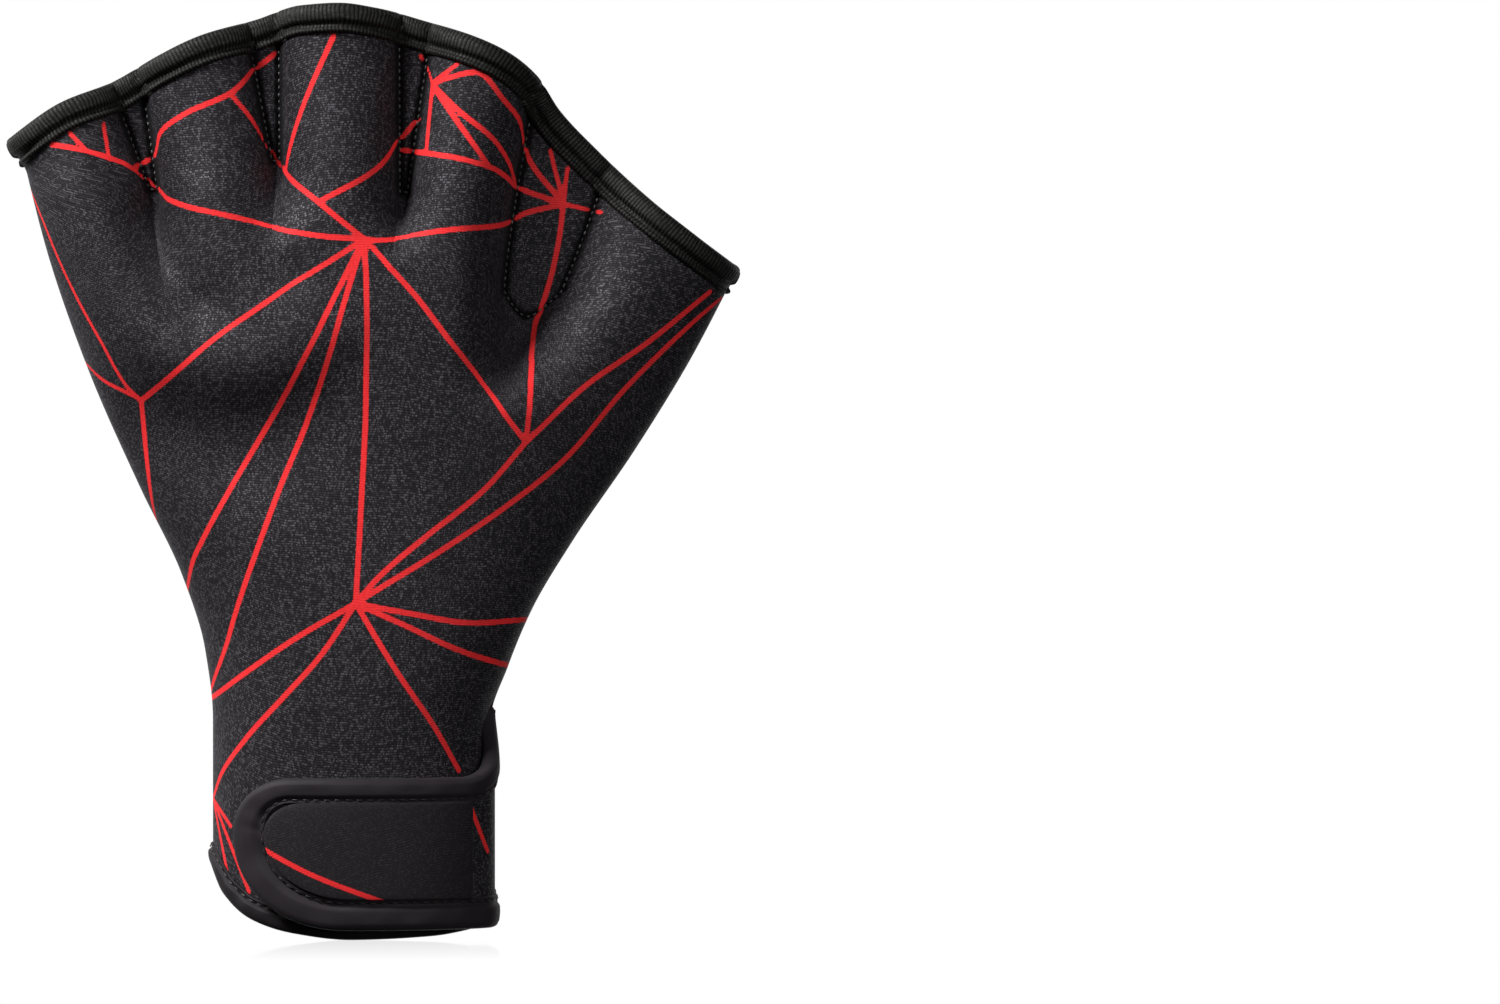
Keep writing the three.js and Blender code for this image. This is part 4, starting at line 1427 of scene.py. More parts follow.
@dataclass
class Strap:
    """The wrist strap: a neoprene band from the slit over the back of the wrist to a rounded tip.

    taped is how far its tape reaches over its face, and line_ease the share of its x at which a
    printed line is laid.
    """

    form: GloveForm
    length: float = 69 * MM
    bottom: float = 3 * MM
    top: float = 33.4 * MM
    tip_height: float = 22.5 * MM
    tip_upper: float = 13 * MM
    tip_lower: float = 24 * MM
    wall: float = 2 * MM
    flare_rise: float = 15 * MM
    flare_run: float = 19 * MM
    root_rise: float = 2 * MM
    root_run: float = 10 * MM
    taped: Inset = Inset(7.6 * MM, 6.0 * MM, 4.6 * MM)
    patch_wall: float = 0.8 * MM
    patch_start: float = 17.5 * MM
    hook_wall: float = 1.4 * MM
    hook_length: float = 34 * MM
    line_ease: float = 0.965
    rows: int = 61
    steps: int = 120
    edge_steps: int = 90
    tip_steps: int = 80
    cuff: UnrolledCuff = field(init=False)
    plain: UnrolledCuff = field(init=False)
    slit_length: float = field(init=False)

    CROWDING = 1.3
    DOME_FLATNESS = 0.3

    def __post_init__(self) -> None:
        """Work out the cuff, and the curve that the strap follows over it."""
        form = self.form
        self.plain = UnrolledCuff(form, lambda a: 0 * a)
        _, right = form.sides(0.0)
        self.slit_length = self.plain.length_at(float(np.arccos(1 - form.slit_inset / right)))
        stack = 2 * (form.clearance + form.tape) + form.seam_gap
        rise = form.wall / 2 + stack + self.wall / 2
        run = self.slit_length - form.seam_gap
        self.cuff = UnrolledCuff(form, lambda a: rise * smoothstep(a / run))

    def upper_edge(self, a: Array) -> Array:
        """Return the height of the upper edge, which sweeps up to the slit as a parabola."""
        return self.top + self.flare_rise * np.maximum(0, 1 - a / self.flare_run) ** 2

    def lower_edge(self, a: Array) -> Array:
        """Return the height of the lower edge."""
        return self.bottom + self.root_rise * np.maximum(0, 1 - a / self.root_run) ** 2

    def tip(self, row: Array, inset: Inset) -> tuple[Array, Array]:
        """Return where rows from 0 to 1 meet the rounded tip, and the sine of their angle.

        Args:
            row: shares of the way from the lower edge to the upper one.
            inset: how far the outline is drawn in.

        Returns:
            The lengths along the strap, and the sines.
        """
        angle = (row * 2 - 1) * np.pi / 2
        reach = np.where(angle < 0, self.tip_lower - inset.lower, self.tip_upper - inset.upper)
        return self.length - inset.tip - reach * (1 - np.cos(angle)), np.sin(angle)

    def height(self, a: Array, sine: Array, inset: Inset) -> Array:
        """Return the heights at lengths a on rows with the given sines."""
        edge = np.where(sine < 0, self.lower_edge(a) + inset.lower, self.upper_edge(a) - inset.upper)
        return lerp(self.tip_height, edge, np.abs(sine))

    def layer(
        self,
        name: str,
        start: float,
        inset: Inset,
        outer: float,
        inner: float,
        dome: float = 0.0,
        lines: Sequence[tuple[Array, float]] = (),
    ) -> Object:
        """Make a layer of the strap: a sheet with its rounded tip, between two offsets.

        Args:
            name: the piece's name.
            start: where it starts along the strap.
            inset: how far inside the strap's outline it ends.
            outer: the offset of its outer face from the strap's middle.
            inner: that of its inner face.
            dome: how far its middle swells outwards.
            lines: the points and half-widths of printed lines on it.

        Returns:
            The layer's object.
        """
        row = np.linspace(0, 1, self.rows)[:, None]
        step = np.linspace(0, 1, self.steps + 1)[None]
        end, sine = self.tip(row, inset)
        a = lerp(start, end, step)
        z = self.height(a, sine, inset)
        swell = dome * (np.sin(np.pi * row) * np.sin(np.pi * step)) ** self.DOME_FLATNESS
        top = self.cuff.point(a, z, outer + swell)
        low = self.cuff.point(a, z, inner)
        values = {"ink": LineArt().ink(self.cuff.point(a, z, outer), lines)} if lines else None
        uv = MeshBuilder.arc_uv(top, 0)
        return MeshBuilder.closed_sheet(name, top, low, uv, values)

    def outline(self, start: float) -> tuple[Array, Array]:
        """Return the strap's edge: the lower one, the tip and the upper one.

        Args:
            start: the length along the strap at which both edges start.

        Returns:
            The places (a, z), and how wide the tape lies on the strap's face at each.
        """
        share = np.linspace(0, 1, self.edge_steps, endpoint=False)
        whole = Inset()
        end, sine = self.tip(np.linspace(0, 1, self.tip_steps), whole)
        a = lerp(start, end[0], share**self.CROWDING)
        lower = np.stack([a, self.lower_edge(a)], -1)
        tip = np.stack([end, self.height(end, sine, whole)], -1)
        a = lerp(start, end[-1], share[::-1] ** self.CROWDING)
        upper = np.stack([a, self.upper_edge(a)], -1)
        side = np.where(sine < 0, self.taped.lower, self.taped.upper)
        around = lerp(self.taped.tip, side, sine**2)
        below, above = np.full(len(lower), self.taped.lower), np.full(len(upper), self.taped.upper)
        return np.concatenate([lower, tip, upper]), np.concatenate([below, around, above])

    def line_on(self, chain: Chain, art: LineArt, n: float) -> Array:
        """Return a printed line's points on the strap's face, at an offset from its middle."""
        x, z = art.place(chain)
        return self.cuff.point(self.cuff.length_of_x(x * self.line_ease), z, n)


@dataclass
class ThreadStitches:
    """Short thread stitches: slim closed beads, each along its own stretch of a line.

    ARCH is how flat a bead's arch is, and the share of the radius by which it is sunk.
    """

    name: str
    radius: float = 0.27 * MM
    length: float = 2.0 * MM
    pitch: float = 3.0 * MM

    SIDES = 6
    STATIONS = 6
    ARCH = (0.6, 0.55)
    END_SHARE = 0.35

    def build(self, runs: Sequence[tuple[Array, Array]]) -> Object:
        """Make stitches at even steps along lines, as one joined mesh.

        Args:
            runs: each line's points and outward normals.

        Returns:
            The joined object.
        """
        paths, ways = [], []
        for line, normal in runs:
            run = lengths(line)
            count = int((run[-1] - self.length) / self.pitch) + 1
            at = np.arange(count)[:, None] * self.pitch + np.linspace(0, 1, self.STATIONS) * self.length
            paths.append(np.stack([np.interp(at, run, line[:, k]) for k in range(3)], -1))
            ways.append(np.stack([np.interp(at, run, normal[:, k]) for k in range(3)], -1))
        return self.beads(np.concatenate(paths), np.concatenate(ways))

    def zigzag(self, runs: Sequence[tuple[Array, Array, Array]]) -> Object:
        """Make stitches that run to and fro between two rows of points, as one joined mesh.

        Args:
            runs: the points of one row, those of the other and the outward normals.

        Returns:
            The joined object.
        """
        paths, ways = [], []
        t = np.linspace(0, 1, self.STATIONS)[None, :, None]
        for near, far, normal in runs:
            for start, stop in ((near[:-1], far[:-1]), (far[:-1], near[1:])):
                paths.append(lerp(start[:, None], stop[:, None], t))
                ways.append(np.repeat(normal[:-1, None], self.STATIONS, axis=1))
        return self.beads(np.concatenate(paths), np.concatenate(ways))

    def beads(self, path: Array, way: Array) -> Object:
        """Make one bead along each short path, all joined into one mesh.

        A bead is a tube that swells by the square root of a half sine wave, from its end's share of
        the radius, and whose middle stands out from the cloth by a flatter one.

        Args:
            path: beads by stations by 3.
            way: the outward directions there.

        Returns:
            The joined object.
        """
        t = np.linspace(0, 1, self.STATIONS)
        out = unit(way)
        side = unit(np.cross(unit(path[:, -1:] - path[:, :1]), out))
        flatness, sunk = self.ARCH
        arch = (np.sin(np.pi * t) ** flatness - sunk) * self.radius
        angle = np.linspace(0, 2 * np.pi, self.SIDES, endpoint=False)[:, None]
        ring = np.cos(angle) * out[:, :, None] + np.sin(angle) * side[:, :, None]
        slim = self.radius * lerp(self.END_SHARE, 1, np.sin(np.pi * t) ** 0.5)
        middle = path + out * arch[None, :, None]
        body = middle[:, :, None] + ring * slim[None, :, None, None]
        faces = [self._tube_quads(len(path))]
        return MeshBuilder.from_faces(self.name, body.reshape(-1, 3), faces, sharp_deg=80)

    def _tube_quads(self, count: int) -> Array:
        """Join the vertices of tubes by quads, ends too.

        Args:
            count: how many tubes there are.

        Returns:
            Four vertex numbers for each quad.
        """
        m, k = self.STATIONS, self.SIDES
        i, j = np.meshgrid(np.arange(m - 1), np.arange(k), indexing="ij")
        after = (j + 1) % k
        ring, following = i * k, (i + 1) * k
        wall = np.stack([ring + j, ring + after, following + after, following + j], -1).reshape(-1, 4)
        ends = []
        for first, turn in ((0, -1), ((m - 1) * k, 1)):
            ends.append([first + s for s in (0, 1, 2, 3)][::turn])
            ends.append([first + s for s in (0, 3, 4, 5)][::turn])
        one = np.concatenate([wall, np.array(ends)])
        return (one[None] + np.arange(count)[:, None, None] * m * k).reshape(-1, 4)


class Socket:
    """A shader value whose operators add Math nodes."""

    def __init__(self, nodes: "NodeMaker", socket: bpy.types.NodeSocket) -> None:
        """Wrap a socket of a node tree."""
        self.nodes = nodes
        self.socket = socket

    def _math(self, operation: str, *values: Any) -> "Socket":
        """Return the result of a Math node."""
        return self.nodes.add("ShaderNodeMath", {"operation": operation}, dict(enumerate(values)))

    def __add__(self, other: Any) -> "Socket":
        """Return the sum."""
        return self._math("ADD", self, other)

    __radd__ = __add__

    def __sub__(self, other: Any) -> "Socket":
        """Return the difference."""
        return self._math("SUBTRACT", self, other)

    def __rsub__(self, other: Any) -> "Socket":
        """Return the difference from a number."""
        return self._math("SUBTRACT", other, self)

    def __mul__(self, other: Any) -> "Socket":
        """Return the product."""
        return self._math("MULTIPLY", self, other)

    __rmul__ = __mul__

    def __truediv__(self, other: Any) -> "Socket":
        """Return the quotient."""
        return self._math("DIVIDE", self, other)

    def floor(self) -> "Socket":
        """Return the value rounded down."""
        return self._math("FLOOR", self)

    def humps(self) -> "Socket":
        """Return half sine waves, one between each whole number and the next."""
        return self._math("ABSOLUTE", self._math("SINE", self * np.pi))

    def clamped(self, low: float, high: float) -> "Socket":
        """Return the value mapped from a range to 0 to 1 and held there."""
        inputs = {"Value": self, "From Min": low, "From Max": high}
        return self.nodes.add("ShaderNodeMapRange", {"clamp": True}, inputs)


class NodeMaker:
    """Adds nodes to a material's tree."""

    def __init__(self, name: str) -> None:
        """Start a material with an empty tree."""
        self.material = bpy.data.materials.new(name)
        self.material.use_nodes = True
        self.tree = self.material.node_tree
        self.tree.nodes.clear()

    def node(self, kind: str, settings: dict[str, Any], inputs: dict[Any, Any]) -> bpy.types.Node:
        """Add a node.

        Args:
            kind: the node's type.
            settings: its properties, set first.
            inputs: values or links of its sockets, by name or number.

        Returns:
            The node.
        """
        node = self.tree.nodes.new(kind)
        for key, value in settings.items():
            setattr(node, key, value)
        for key, value in inputs.items():
            if isinstance(value, Socket):
                self.tree.links.new(value.socket, node.inputs[key])
            else:
                node.inputs[key].default_value = value
        return node

    def add(self, kind: str, settings: dict[str, Any], inputs: dict[Any, Any], output: Any = 0) -> Socket:
        """Add a node and return one of its outputs, by name or number."""
        return Socket(self, self.node(kind, settings, inputs).outputs[output])

    def mix(self, share: Any, a: Any, b: Any) -> Socket:
        """Return the mix of two colours."""
        return self.add("ShaderNodeMix", {"data_type": "RGBA"}, {0: share, 6: a, 7: b}, 2)

    def cloth(self) -> tuple[Socket, Socket]:
        """Return the cloth's own coordinates in millimetres, along its rows and up its columns."""
        uv = self.add("ShaderNodeUVMap", {"uv_map": "cloth"}, {})
        outputs = self.node("ShaderNodeSeparateXYZ", {}, {0: uv}).outputs
        return Socket(self, outputs[0]), Socket(self, outputs[1])

    def join(self, x: Any, y: Any) -> Socket:
        """Return a vector of two values."""
        return self.add("ShaderNodeCombineXYZ", {}, {0: x, 1: y})

    def attribute(self, name: str) -> Socket:
        """Return a value that the mesh holds at its vertices."""
        return self.add("ShaderNodeAttribute", {"attribute_name": name}, {}, "Fac")

    def chance(self, x: Socket, y: Socket) -> Socket:
        """Return a value by chance for each square between whole numbers."""
        square = self.join(x.floor(), y.floor())
        return self.add("ShaderNodeTexWhiteNoise", {"noise_dimensions": "2D"}, {"Vector": square})

    def noise(self, vector: Socket, scale: float, detail: float = 2.0, roughness: float = 0.5) -> Socket:
        """Return a noise of the given scale, in cycles for each unit of the vector."""
        inputs = {"Vector": vector, "Scale": scale, "Detail": detail, "Roughness": roughness}
        return self.add("ShaderNodeTexNoise", {"noise_dimensions": "3D"}, inputs)

    def bump(self, height: Socket, strength: float, depth_mm: float) -> Socket:
        """Return a normal bent by a height that is worth the given depth."""
        inputs = {"Strength": strength, "Distance": depth_mm * MM, "Height": height}
        return self.add("ShaderNodeBump", {}, inputs, "Normal")

    def finish(self, constants: dict[str, Any], varying: dict[str, Socket]) -> Material:
        """Close the tree with a Principled shader and return the material.

        Args:
            constants: values set on the shader's own sockets.
            varying: links to them.

        Returns:
            The material.
        """
        self.output(self.add("ShaderNodeBsdfPrincipled", {}, {**constants, **varying}))
        return self.material

    def output(self, shader: Socket) -> None:
        """Link a shader to the material's output."""
        self.node("ShaderNodeOutputMaterial", {}, {"Surface": shader})


def colour(red: float, green: float, blue: float) -> Colour:
    """Return a linear colour with full alpha."""
    return red, green, blue, 1.0


@dataclass(frozen=True)
class Jersey:
    """Knitted jersey on neoprene: bricks of tiny loops, some of them glinting, and printed lines.

    row and wale are the knit's pitches in millimetres, and shine is how metallic the best glint is.
    """

    name: str
    base: Colour = colour(0.0012, 0.001, 0.0014)
    light: Colour = colour(0.0085, 0.0072, 0.0092)
    glint: Colour = colour(0.165, 0.151, 0.174)
    red: Colour = colour(0.98, 0.035, 0.04)
    red_dark: Colour = colour(0.75, 0.016, 0.018)
    printed: bool = False
    row: float = 0.5
    wale: float = 0.36
    shine: float = 0.75
    bump_mm: float = 0.06

    def make(self) -> Material:
        """Make the material.

        A row is a half sine wave and its loops are others along it, set off by half a loop from row
        to row. A glint grows with the cube of the loop's own chance, so that few of them stand out,
        and painted shade darkens the cloth along the stitched seams, which are also made rougher.

        Returns:
            The material.
        """
        n = NodeMaker(self.name)
        u, v = n.cloth()
        flat = n.join(u, v)
        drift = n.noise(flat, 0.12) * 2.0
        up = (v + drift) / self.row
        along = (u + drift) / self.wale + up.floor() * 0.5
        loops = up.humps() * (along.humps() * 0.6 + 0.4)
        chance = n.chance(along, up)
        grain = n.noise(flat, 1.1, 3.0, 0.7)
        patches = n.noise(flat, 0.06)
        seam = n.attribute("seam")
        # Painted shade: along the stitched seams the tone and the glints are darkened, as if the grooves
        # lay in shadow.
        seam_shade = 1 - seam * 0.95
        glint = (chance * chance * chance * 0.93 + 0.07) * loops * (patches * 0.6 + 0.7) * seam_shade
        tone = (loops * 1.1 + (grain - 0.5) * 0.35 + (patches - 0.5) * 0.3) * seam_shade
        base = n.mix(tone.clamped(0.0, 1.0), self.base, self.light)
        base = n.mix(glint, base, self.glint)
        metal = glint * self.shine
        rough = 0.66 - glint * 0.1 - (patches - 0.5) * 0.1 + seam * 0.34
        if self.printed:
            edge = (n.attribute("ink") + (loops - 0.4) * 0.16 + (grain - 0.5) * 0.2).clamped(-0.07, 0.07)
            thread = n.mix((loops * 0.8 + chance * 0.5).clamped(0.1, 0.8), self.red_dark, self.red)
            base = n.mix(edge, base, thread)
            metal = metal * (1 - edge)
        bump = n.bump(loops + grain * 0.8, 0.5, self.bump_mm)
        constants = {
            "Specular IOR Level": 0.17,
            "Sheen Weight": 0.03,
            "Sheen Roughness": 0.42,
            "Sheen Tint": colour(0.86, 0.83, 0.92),
        }
        varying = {"Base Color": base, "Metallic": metal, "Roughness": rough, "Normal": bump}
        return n.finish(constants, varying)


@dataclass(frozen=True)
class RibbedTape:
    """Elastic tape with fine ribs across it, glinting here and there, and a slight olive cast."""

    name: str
    base: Colour = colour(0.0012, 0.0012, 0.001)
    rib: Colour = colour(0.008, 0.008, 0.0072)
    glint: Colour = colour(0.05, 0.05, 0.0475)
    pitch: float = 0.8
    strand: float = 0.5
    bump_mm: float = 0.16

    def make(self) -> Material:
        """Make the material: ribs as half sine waves along the tape, cut into strands across it.

        Returns:
            The material.
        """
        n = NodeMaker(self.name)
        u, v = n.cloth()
        flat = n.join(u, v)
        drift = n.noise(flat, 0.3) * 0.8
        along = (u + drift) / self.pitch
        across = (v + drift) / self.strand
        ribs, weave = along.humps(), across.humps()
        grain = n.noise(flat, 1.4, 3.0, 0.7)
        chance = n.chance(along, across)
        glint = ribs * ribs * (chance * chance * 0.75 + 0.25) * (weave * 0.3 + 0.7)
        tone = ribs * ribs * (grain + 0.4)
        base = n.mix(tone.clamped(0.1, 1.0), self.base, self.rib)
        base = n.mix(glint, base, self.glint)
        bump = n.bump(ribs + grain * 0.5 + weave * 0.2, 0.6, self.bump_mm)
        constants = {"Specular IOR Level": 0.16, "Sheen Weight": 0.01, "Sheen Roughness": 0.4}
        metal, rough = glint * 0.7, 0.62 - grain * 0.1
        varying = {"Base Color": base, "Metallic": metal, "Roughness": rough, "Normal": bump}
        return n.finish(constants, varying)


@dataclass(frozen=True)
class SmoothTape:
    """Smooth elastic tape: a close, even weave with a soft sheen."""

    name: str
    base: Colour = colour(0.0175, 0.014, 0.0168)
    light: Colour = colour(0.03, 0.0243, 0.029)
    bump_mm: float = 0.03

    def make(self) -> Material:
        """Make the material: a fine noise for the weave over a broad one for its shades.

        Returns:
            The material.
        """
        n = NodeMaker(self.name)
        flat = n.join(*n.cloth())
        grain = n.noise(flat, 3.2, 2.0, 0.6)
        soft = n.noise(flat, 0.16)
        tone = (soft - 0.5) * 1.2 + (grain - 0.5) * 0.6 + 0.4
        base = n.mix(tone.clamped(0.0, 1.0), self.base, self.light)
        bump = n.bump(grain + soft * 3.0, 0.4, self.bump_mm)
        constants = {"Specular IOR Level": 0.16, "Sheen Weight": 0.03, "Sheen Roughness": 0.45}
        return n.finish(constants, {"Base Color": base, "Roughness": 0.66 - soft * 0.1, "Normal": bump})


@dataclass(frozen=True)
class PlainCloth:
    """A matt woven cloth or thread of one tone."""

    name: str
    base: Colour
    light: Colour
    scale: float = 2.0
    roughness: float = 0.8
    specular: float = 0.3
    bump_mm: float = 0.05

    def make(self) -> Material:
        """Make the material, on Object coordinates.

        Returns:
            The material.
        """
        n = NodeMaker(self.name)
        place = n.add("ShaderNodeTexCoord", {}, {}, "Object")
        grain = n.noise(place, self.scale / MM, 2.0, 0.6)
        base = n.mix(grain.clamped(0.25, 0.75), self.base, self.light)
        bump = n.bump(grain, 0.5, self.bump_mm)
        constants = {"Specular IOR Level": self.specular}
        rough = self.roughness + (grain - 0.5) * 0.1
        return n.finish(constants, {"Base Color": base, "Roughness": rough, "Normal": bump})


class Finishes:
    """The materials of all pieces."""

    def __init__(self) -> None:
        """Make each material once."""
        black = colour(0.004, 0.004, 0.004)
        # Painted shade: the hem's tape is the smooth tape in darker tones, so that it reads as lying in
        # shade.
        shaded_tape = colour(0.0105, 0.0085, 0.0101), colour(0.0185, 0.015, 0.018)
        knit = Jersey(
            "patch_cloth",
            printed=True,
            base=colour(0.0075, 0.006, 0.0072),
            light=colour(0.021, 0.0172, 0.0205),
            glint=colour(0.045, 0.041, 0.045),
            shine=0.15,
            bump_mm=0.04,
        )
        self.printed = Jersey("printed_jersey", printed=True).make()
        self.plain = Jersey("plain_jersey").make()
        self.ribbed = RibbedTape("ribbed_tape").make()
        self.smooth = SmoothTape("smooth_tape").make()
        self.hem = SmoothTape("hem_tape_shaded", *shaded_tape).make()
        self.patch = knit.make()
        self.hooks = PlainCloth("hook_tape", colour(0.004, 0.004, 0.0045), colour(0.02, 0.02, 0.021)).make()
        self.thread = PlainCloth("black_thread", black, colour(0.035, 0.034, 0.034), 3.0, 0.4, 0.5).make()
        # Painted highlight: grey mottling in this thread's colour stands in for glints on black thread.
        self.painted_glint_thread = PlainCloth("thread_painted_glints", black, colour(0.15, 0.15, 0.147), 0.5, 0.4, 0.5).make()


@dataclass
class Studio:
    """The camera, the soft lights and the pale floor.

    LIGHTS holds each light's name, place, side and power, and lit is where they look.
    """

    frame_width: float = 318 * MM
    target: Place = (84.4 * MM, 0.0, 91.9 * MM)
    lit: Place = (5 * MM, 0.0, 110 * MM)
    distance: float = 3.2
    reach: float = 20.0
    elevation_deg: float = 1.4
    sensor_mm: float = 36.0
    mirror: float = 0.2
    mirror_from: float = 30 * MM
    mirror_ends: float = 0.1
    mirror_roughness: float = 0.06
    backdrop_at: float = 5.5
    sheet_half: float = 6.0

    WHITE = colour(1, 1, 1)
    LIGHTS = (
        ("key", (-0.8, -0.52, 1.12), 0.4, 28),
        ("fill", (0.9, -1.6, 0.6), 1.2, 13),
        ("rim", (-1.1, 0.35, 0.6), 0.6, 8),
    )

    def camera(self) -> None:
        """Stand the camera at the photograph's angle."""
        data = bpy.data.cameras.new("view")
        data.sensor_width = self.sensor_mm
        data.lens = self.sensor_mm * self.distance / self.frame_width
        data.clip_end = self.reach
        camera = bpy.data.objects.new("view", data)
        tilt = np.radians(self.elevation_deg)
        x, y, z = self.target
        camera.location = (x, y - self.distance * np.cos(tilt), z + self.distance * np.sin(tilt))
        camera.rotation_euler = (np.pi / 2 - tilt, 0, 0)
        bpy.context.scene.collection.objects.link(camera)
        bpy.context.scene.camera = camera

    def light(self, name: str, place: Place, size: float, watts: float) -> None:
        """Hang a square soft light that looks at the glove.

        Args:
            name: the light's name.
            place: where it hangs.
            size: its side.
            watts: its power.
        """
        data = bpy.data.lights.new(name, "AREA")
        data.size = size
        data.energy = watts
        lamp = bpy.data.objects.new(name, data)
        lamp.location = place
        look = np.subtract(self.lit, place)
        flat = float(np.hypot(look[0], look[1]))
        lamp.rotation_euler = (np.arctan2(flat, -look[2]), 0, np.arctan2(-look[0], look[1]))
        bpy.context.scene.collection.objects.link(lamp)

    def floor(self) -> None:
        """Lay a white floor that mirrors what stands on it faintly, fading away from its middle."""
        n = NodeMaker("pale_floor")
        place = n.add("ShaderNodeTexCoord", {}, {}, "Object")
        away = n.add("ShaderNodeVectorMath", {"operation": "LENGTH"}, {0: place}, "Value")
        white = n.add("ShaderNodeEmission", {}, {"Color": self.WHITE, "Strength": 1.0})
        inputs = {"Color": self.WHITE, "Roughness": self.mirror_roughness}
        gloss = n.add("ShaderNodeBsdfGlossy", {}, inputs)
        share = (1 - away.clamped(self.mirror_from, self.mirror_ends)) * self.mirror
        n.output(n.add("ShaderNodeMixShader", {}, {0: share, 1: white, 2: gloss}))
        self._sheet("floor", n.material, (0, 0, 0), (1, 0, 0), (0, 1, 0)).visible_glossy = False

    def backdrop(self) -> None:
        """Stand a white sheet behind the glove, for the floor to mirror."""
        n = NodeMaker("pale_backdrop")
        n.output(n.add("ShaderNodeEmission", {}, {"Color": self.WHITE, "Strength": 1.0}))
        self._sheet("backdrop", n.material, (0, self.backdrop_at, 0), (1, 0, 0), (0, 0, 1))

    def _sheet(
        self,
        name: str,
        material: Material,
        middle: Place,
        across: Place,
        along: Place,
    ) -> Object:
        """Add a large square of the studio that doesn't light the cloth.

        Args:
            name: its name.
            material: its finish.
            middle: its middle.
            across: the unit direction of one side.
            along: that of the other.

        Returns:
            The object.
        """
        turns = ((-1, -1), (1, -1), (1, 1), (-1, 1))
        mesh = bpy.data.meshes.new(name)
        u, v = np.array(across) * self.sheet_half, np.array(along) * self.sheet_half
        corners = [tuple(np.array(middle) + i * u + j * v) for i, j in turns]
        mesh.from_pydata(corners, [], [(0, 1, 2, 3)])
        mesh.materials.append(material)
        sheet = bpy.data.objects.new(name, mesh)
        sheet.visible_diffuse = False
        bpy.context.scene.collection.objects.link(sheet)
        return sheet

    def world(self) -> None:
        """Give the world a plain white that neither lights the cloth nor shines on it."""
        world = bpy.data.worlds.new("pale_world")
        world.use_nodes = True
        background = world.node_tree.nodes["Background"]
        background.inputs["Color"].default_value = self.WHITE
        background.inputs["Strength"].default_value = 1.0
        world.cycles_visibility.diffuse = False
        world.cycles_visibility.glossy = False
        bpy.context.scene.world = world

    def build(self) -> None:
        """Set up the whole studio."""
        self.camera()
        self.floor()
        self.backdrop()
        self.world()
        for row in self.LIGHTS:
            self.light(*row)
        bpy.context.scene.view_settings.view_transform = "Standard"


@dataclass(frozen=True)
class Seams:
    """Where the thread runs: round each web, and to and fro across both side seams.

    The webs' thread is sunk into the cloth and ends web_stop below the finger edge. The side
    stitches start at side_low, or above_slit over the slit's top, and end side_stop below the
    finger edge. They reach over side_in of the last column of each panel.
    """

    form: GloveForm
    sunk: float = 0.2 * MM
    web_stop: float = 6.4 * MM
    web_steps: int = 60
    foot_steps: int = 24
    side_low: float = 17.5 * MM
    above_slit: float = 2 * MM
    side_stop: float = 7 * MM
    side_step: float = 1.7 * MM
    side_in: float = 0.22

    def webs(self, side: Side) -> list[tuple[Array, Array]]:
        """Run down one edge of each web, across its foot and up the other.

        Args:
            side: the panel.

        Returns:
            Each web's points near the outer face, and the directions out of it there.
        """
        form = self.form
        runs = []
        for index, web in enumerate(form.webs):
            left, right = 2.0 * index + 1, 2.0 * index + 2
            foot = web.foot[1] + web.round
            down = np.linspace(float(form.edge(side, left)) - self.web_stop, foot, self.web_steps)
            across = np.linspace(0, 1, self.foot_steps)[1:-1]
            up = np.linspace(foot, float(form.edge(side, right)) - self.web_stop, self.web_steps)
            sides = np.full(len(down), left), lerp(left, right, across), np.full(len(up), right)
            z = np.concatenate([down, web.foot[1] + web.rounding(across), up])
            point, normal = form.skin(side, np.concatenate(sides), z)
            runs.append((point + normal * (form.wall / 2 - self.sunk), normal))
        return runs

    def sides(self) -> list[tuple[Array, Array, Array]]:
        """Cross the gap between the panels, up both sides of the glove.

        Returns:
            For each side the points on the back panel, those on the palm panel, and the normals.
        """
        form = self.form
        runs = []
        ends = ((0.0, self.side_low, 1.0), (float(form.PARTS), form.slit_top + self.above_slit, -1.0))
        for column, low, inwards in ends:
            high = float(form.edge(Side.BACK, column)) - self.side_stop
            z = np.arange(low, high, self.side_step)
            at = np.full_like(z, column + inwards * self.side_in)
            rows = []
            for side in Side:
                point, normal = form.surface(side, at, z)
                rows.append(point + normal * form.wall / 2)
            runs.append((*rows, np.tile([-inwards, 0.0, 0.0], (len(z), 1))))
        return runs


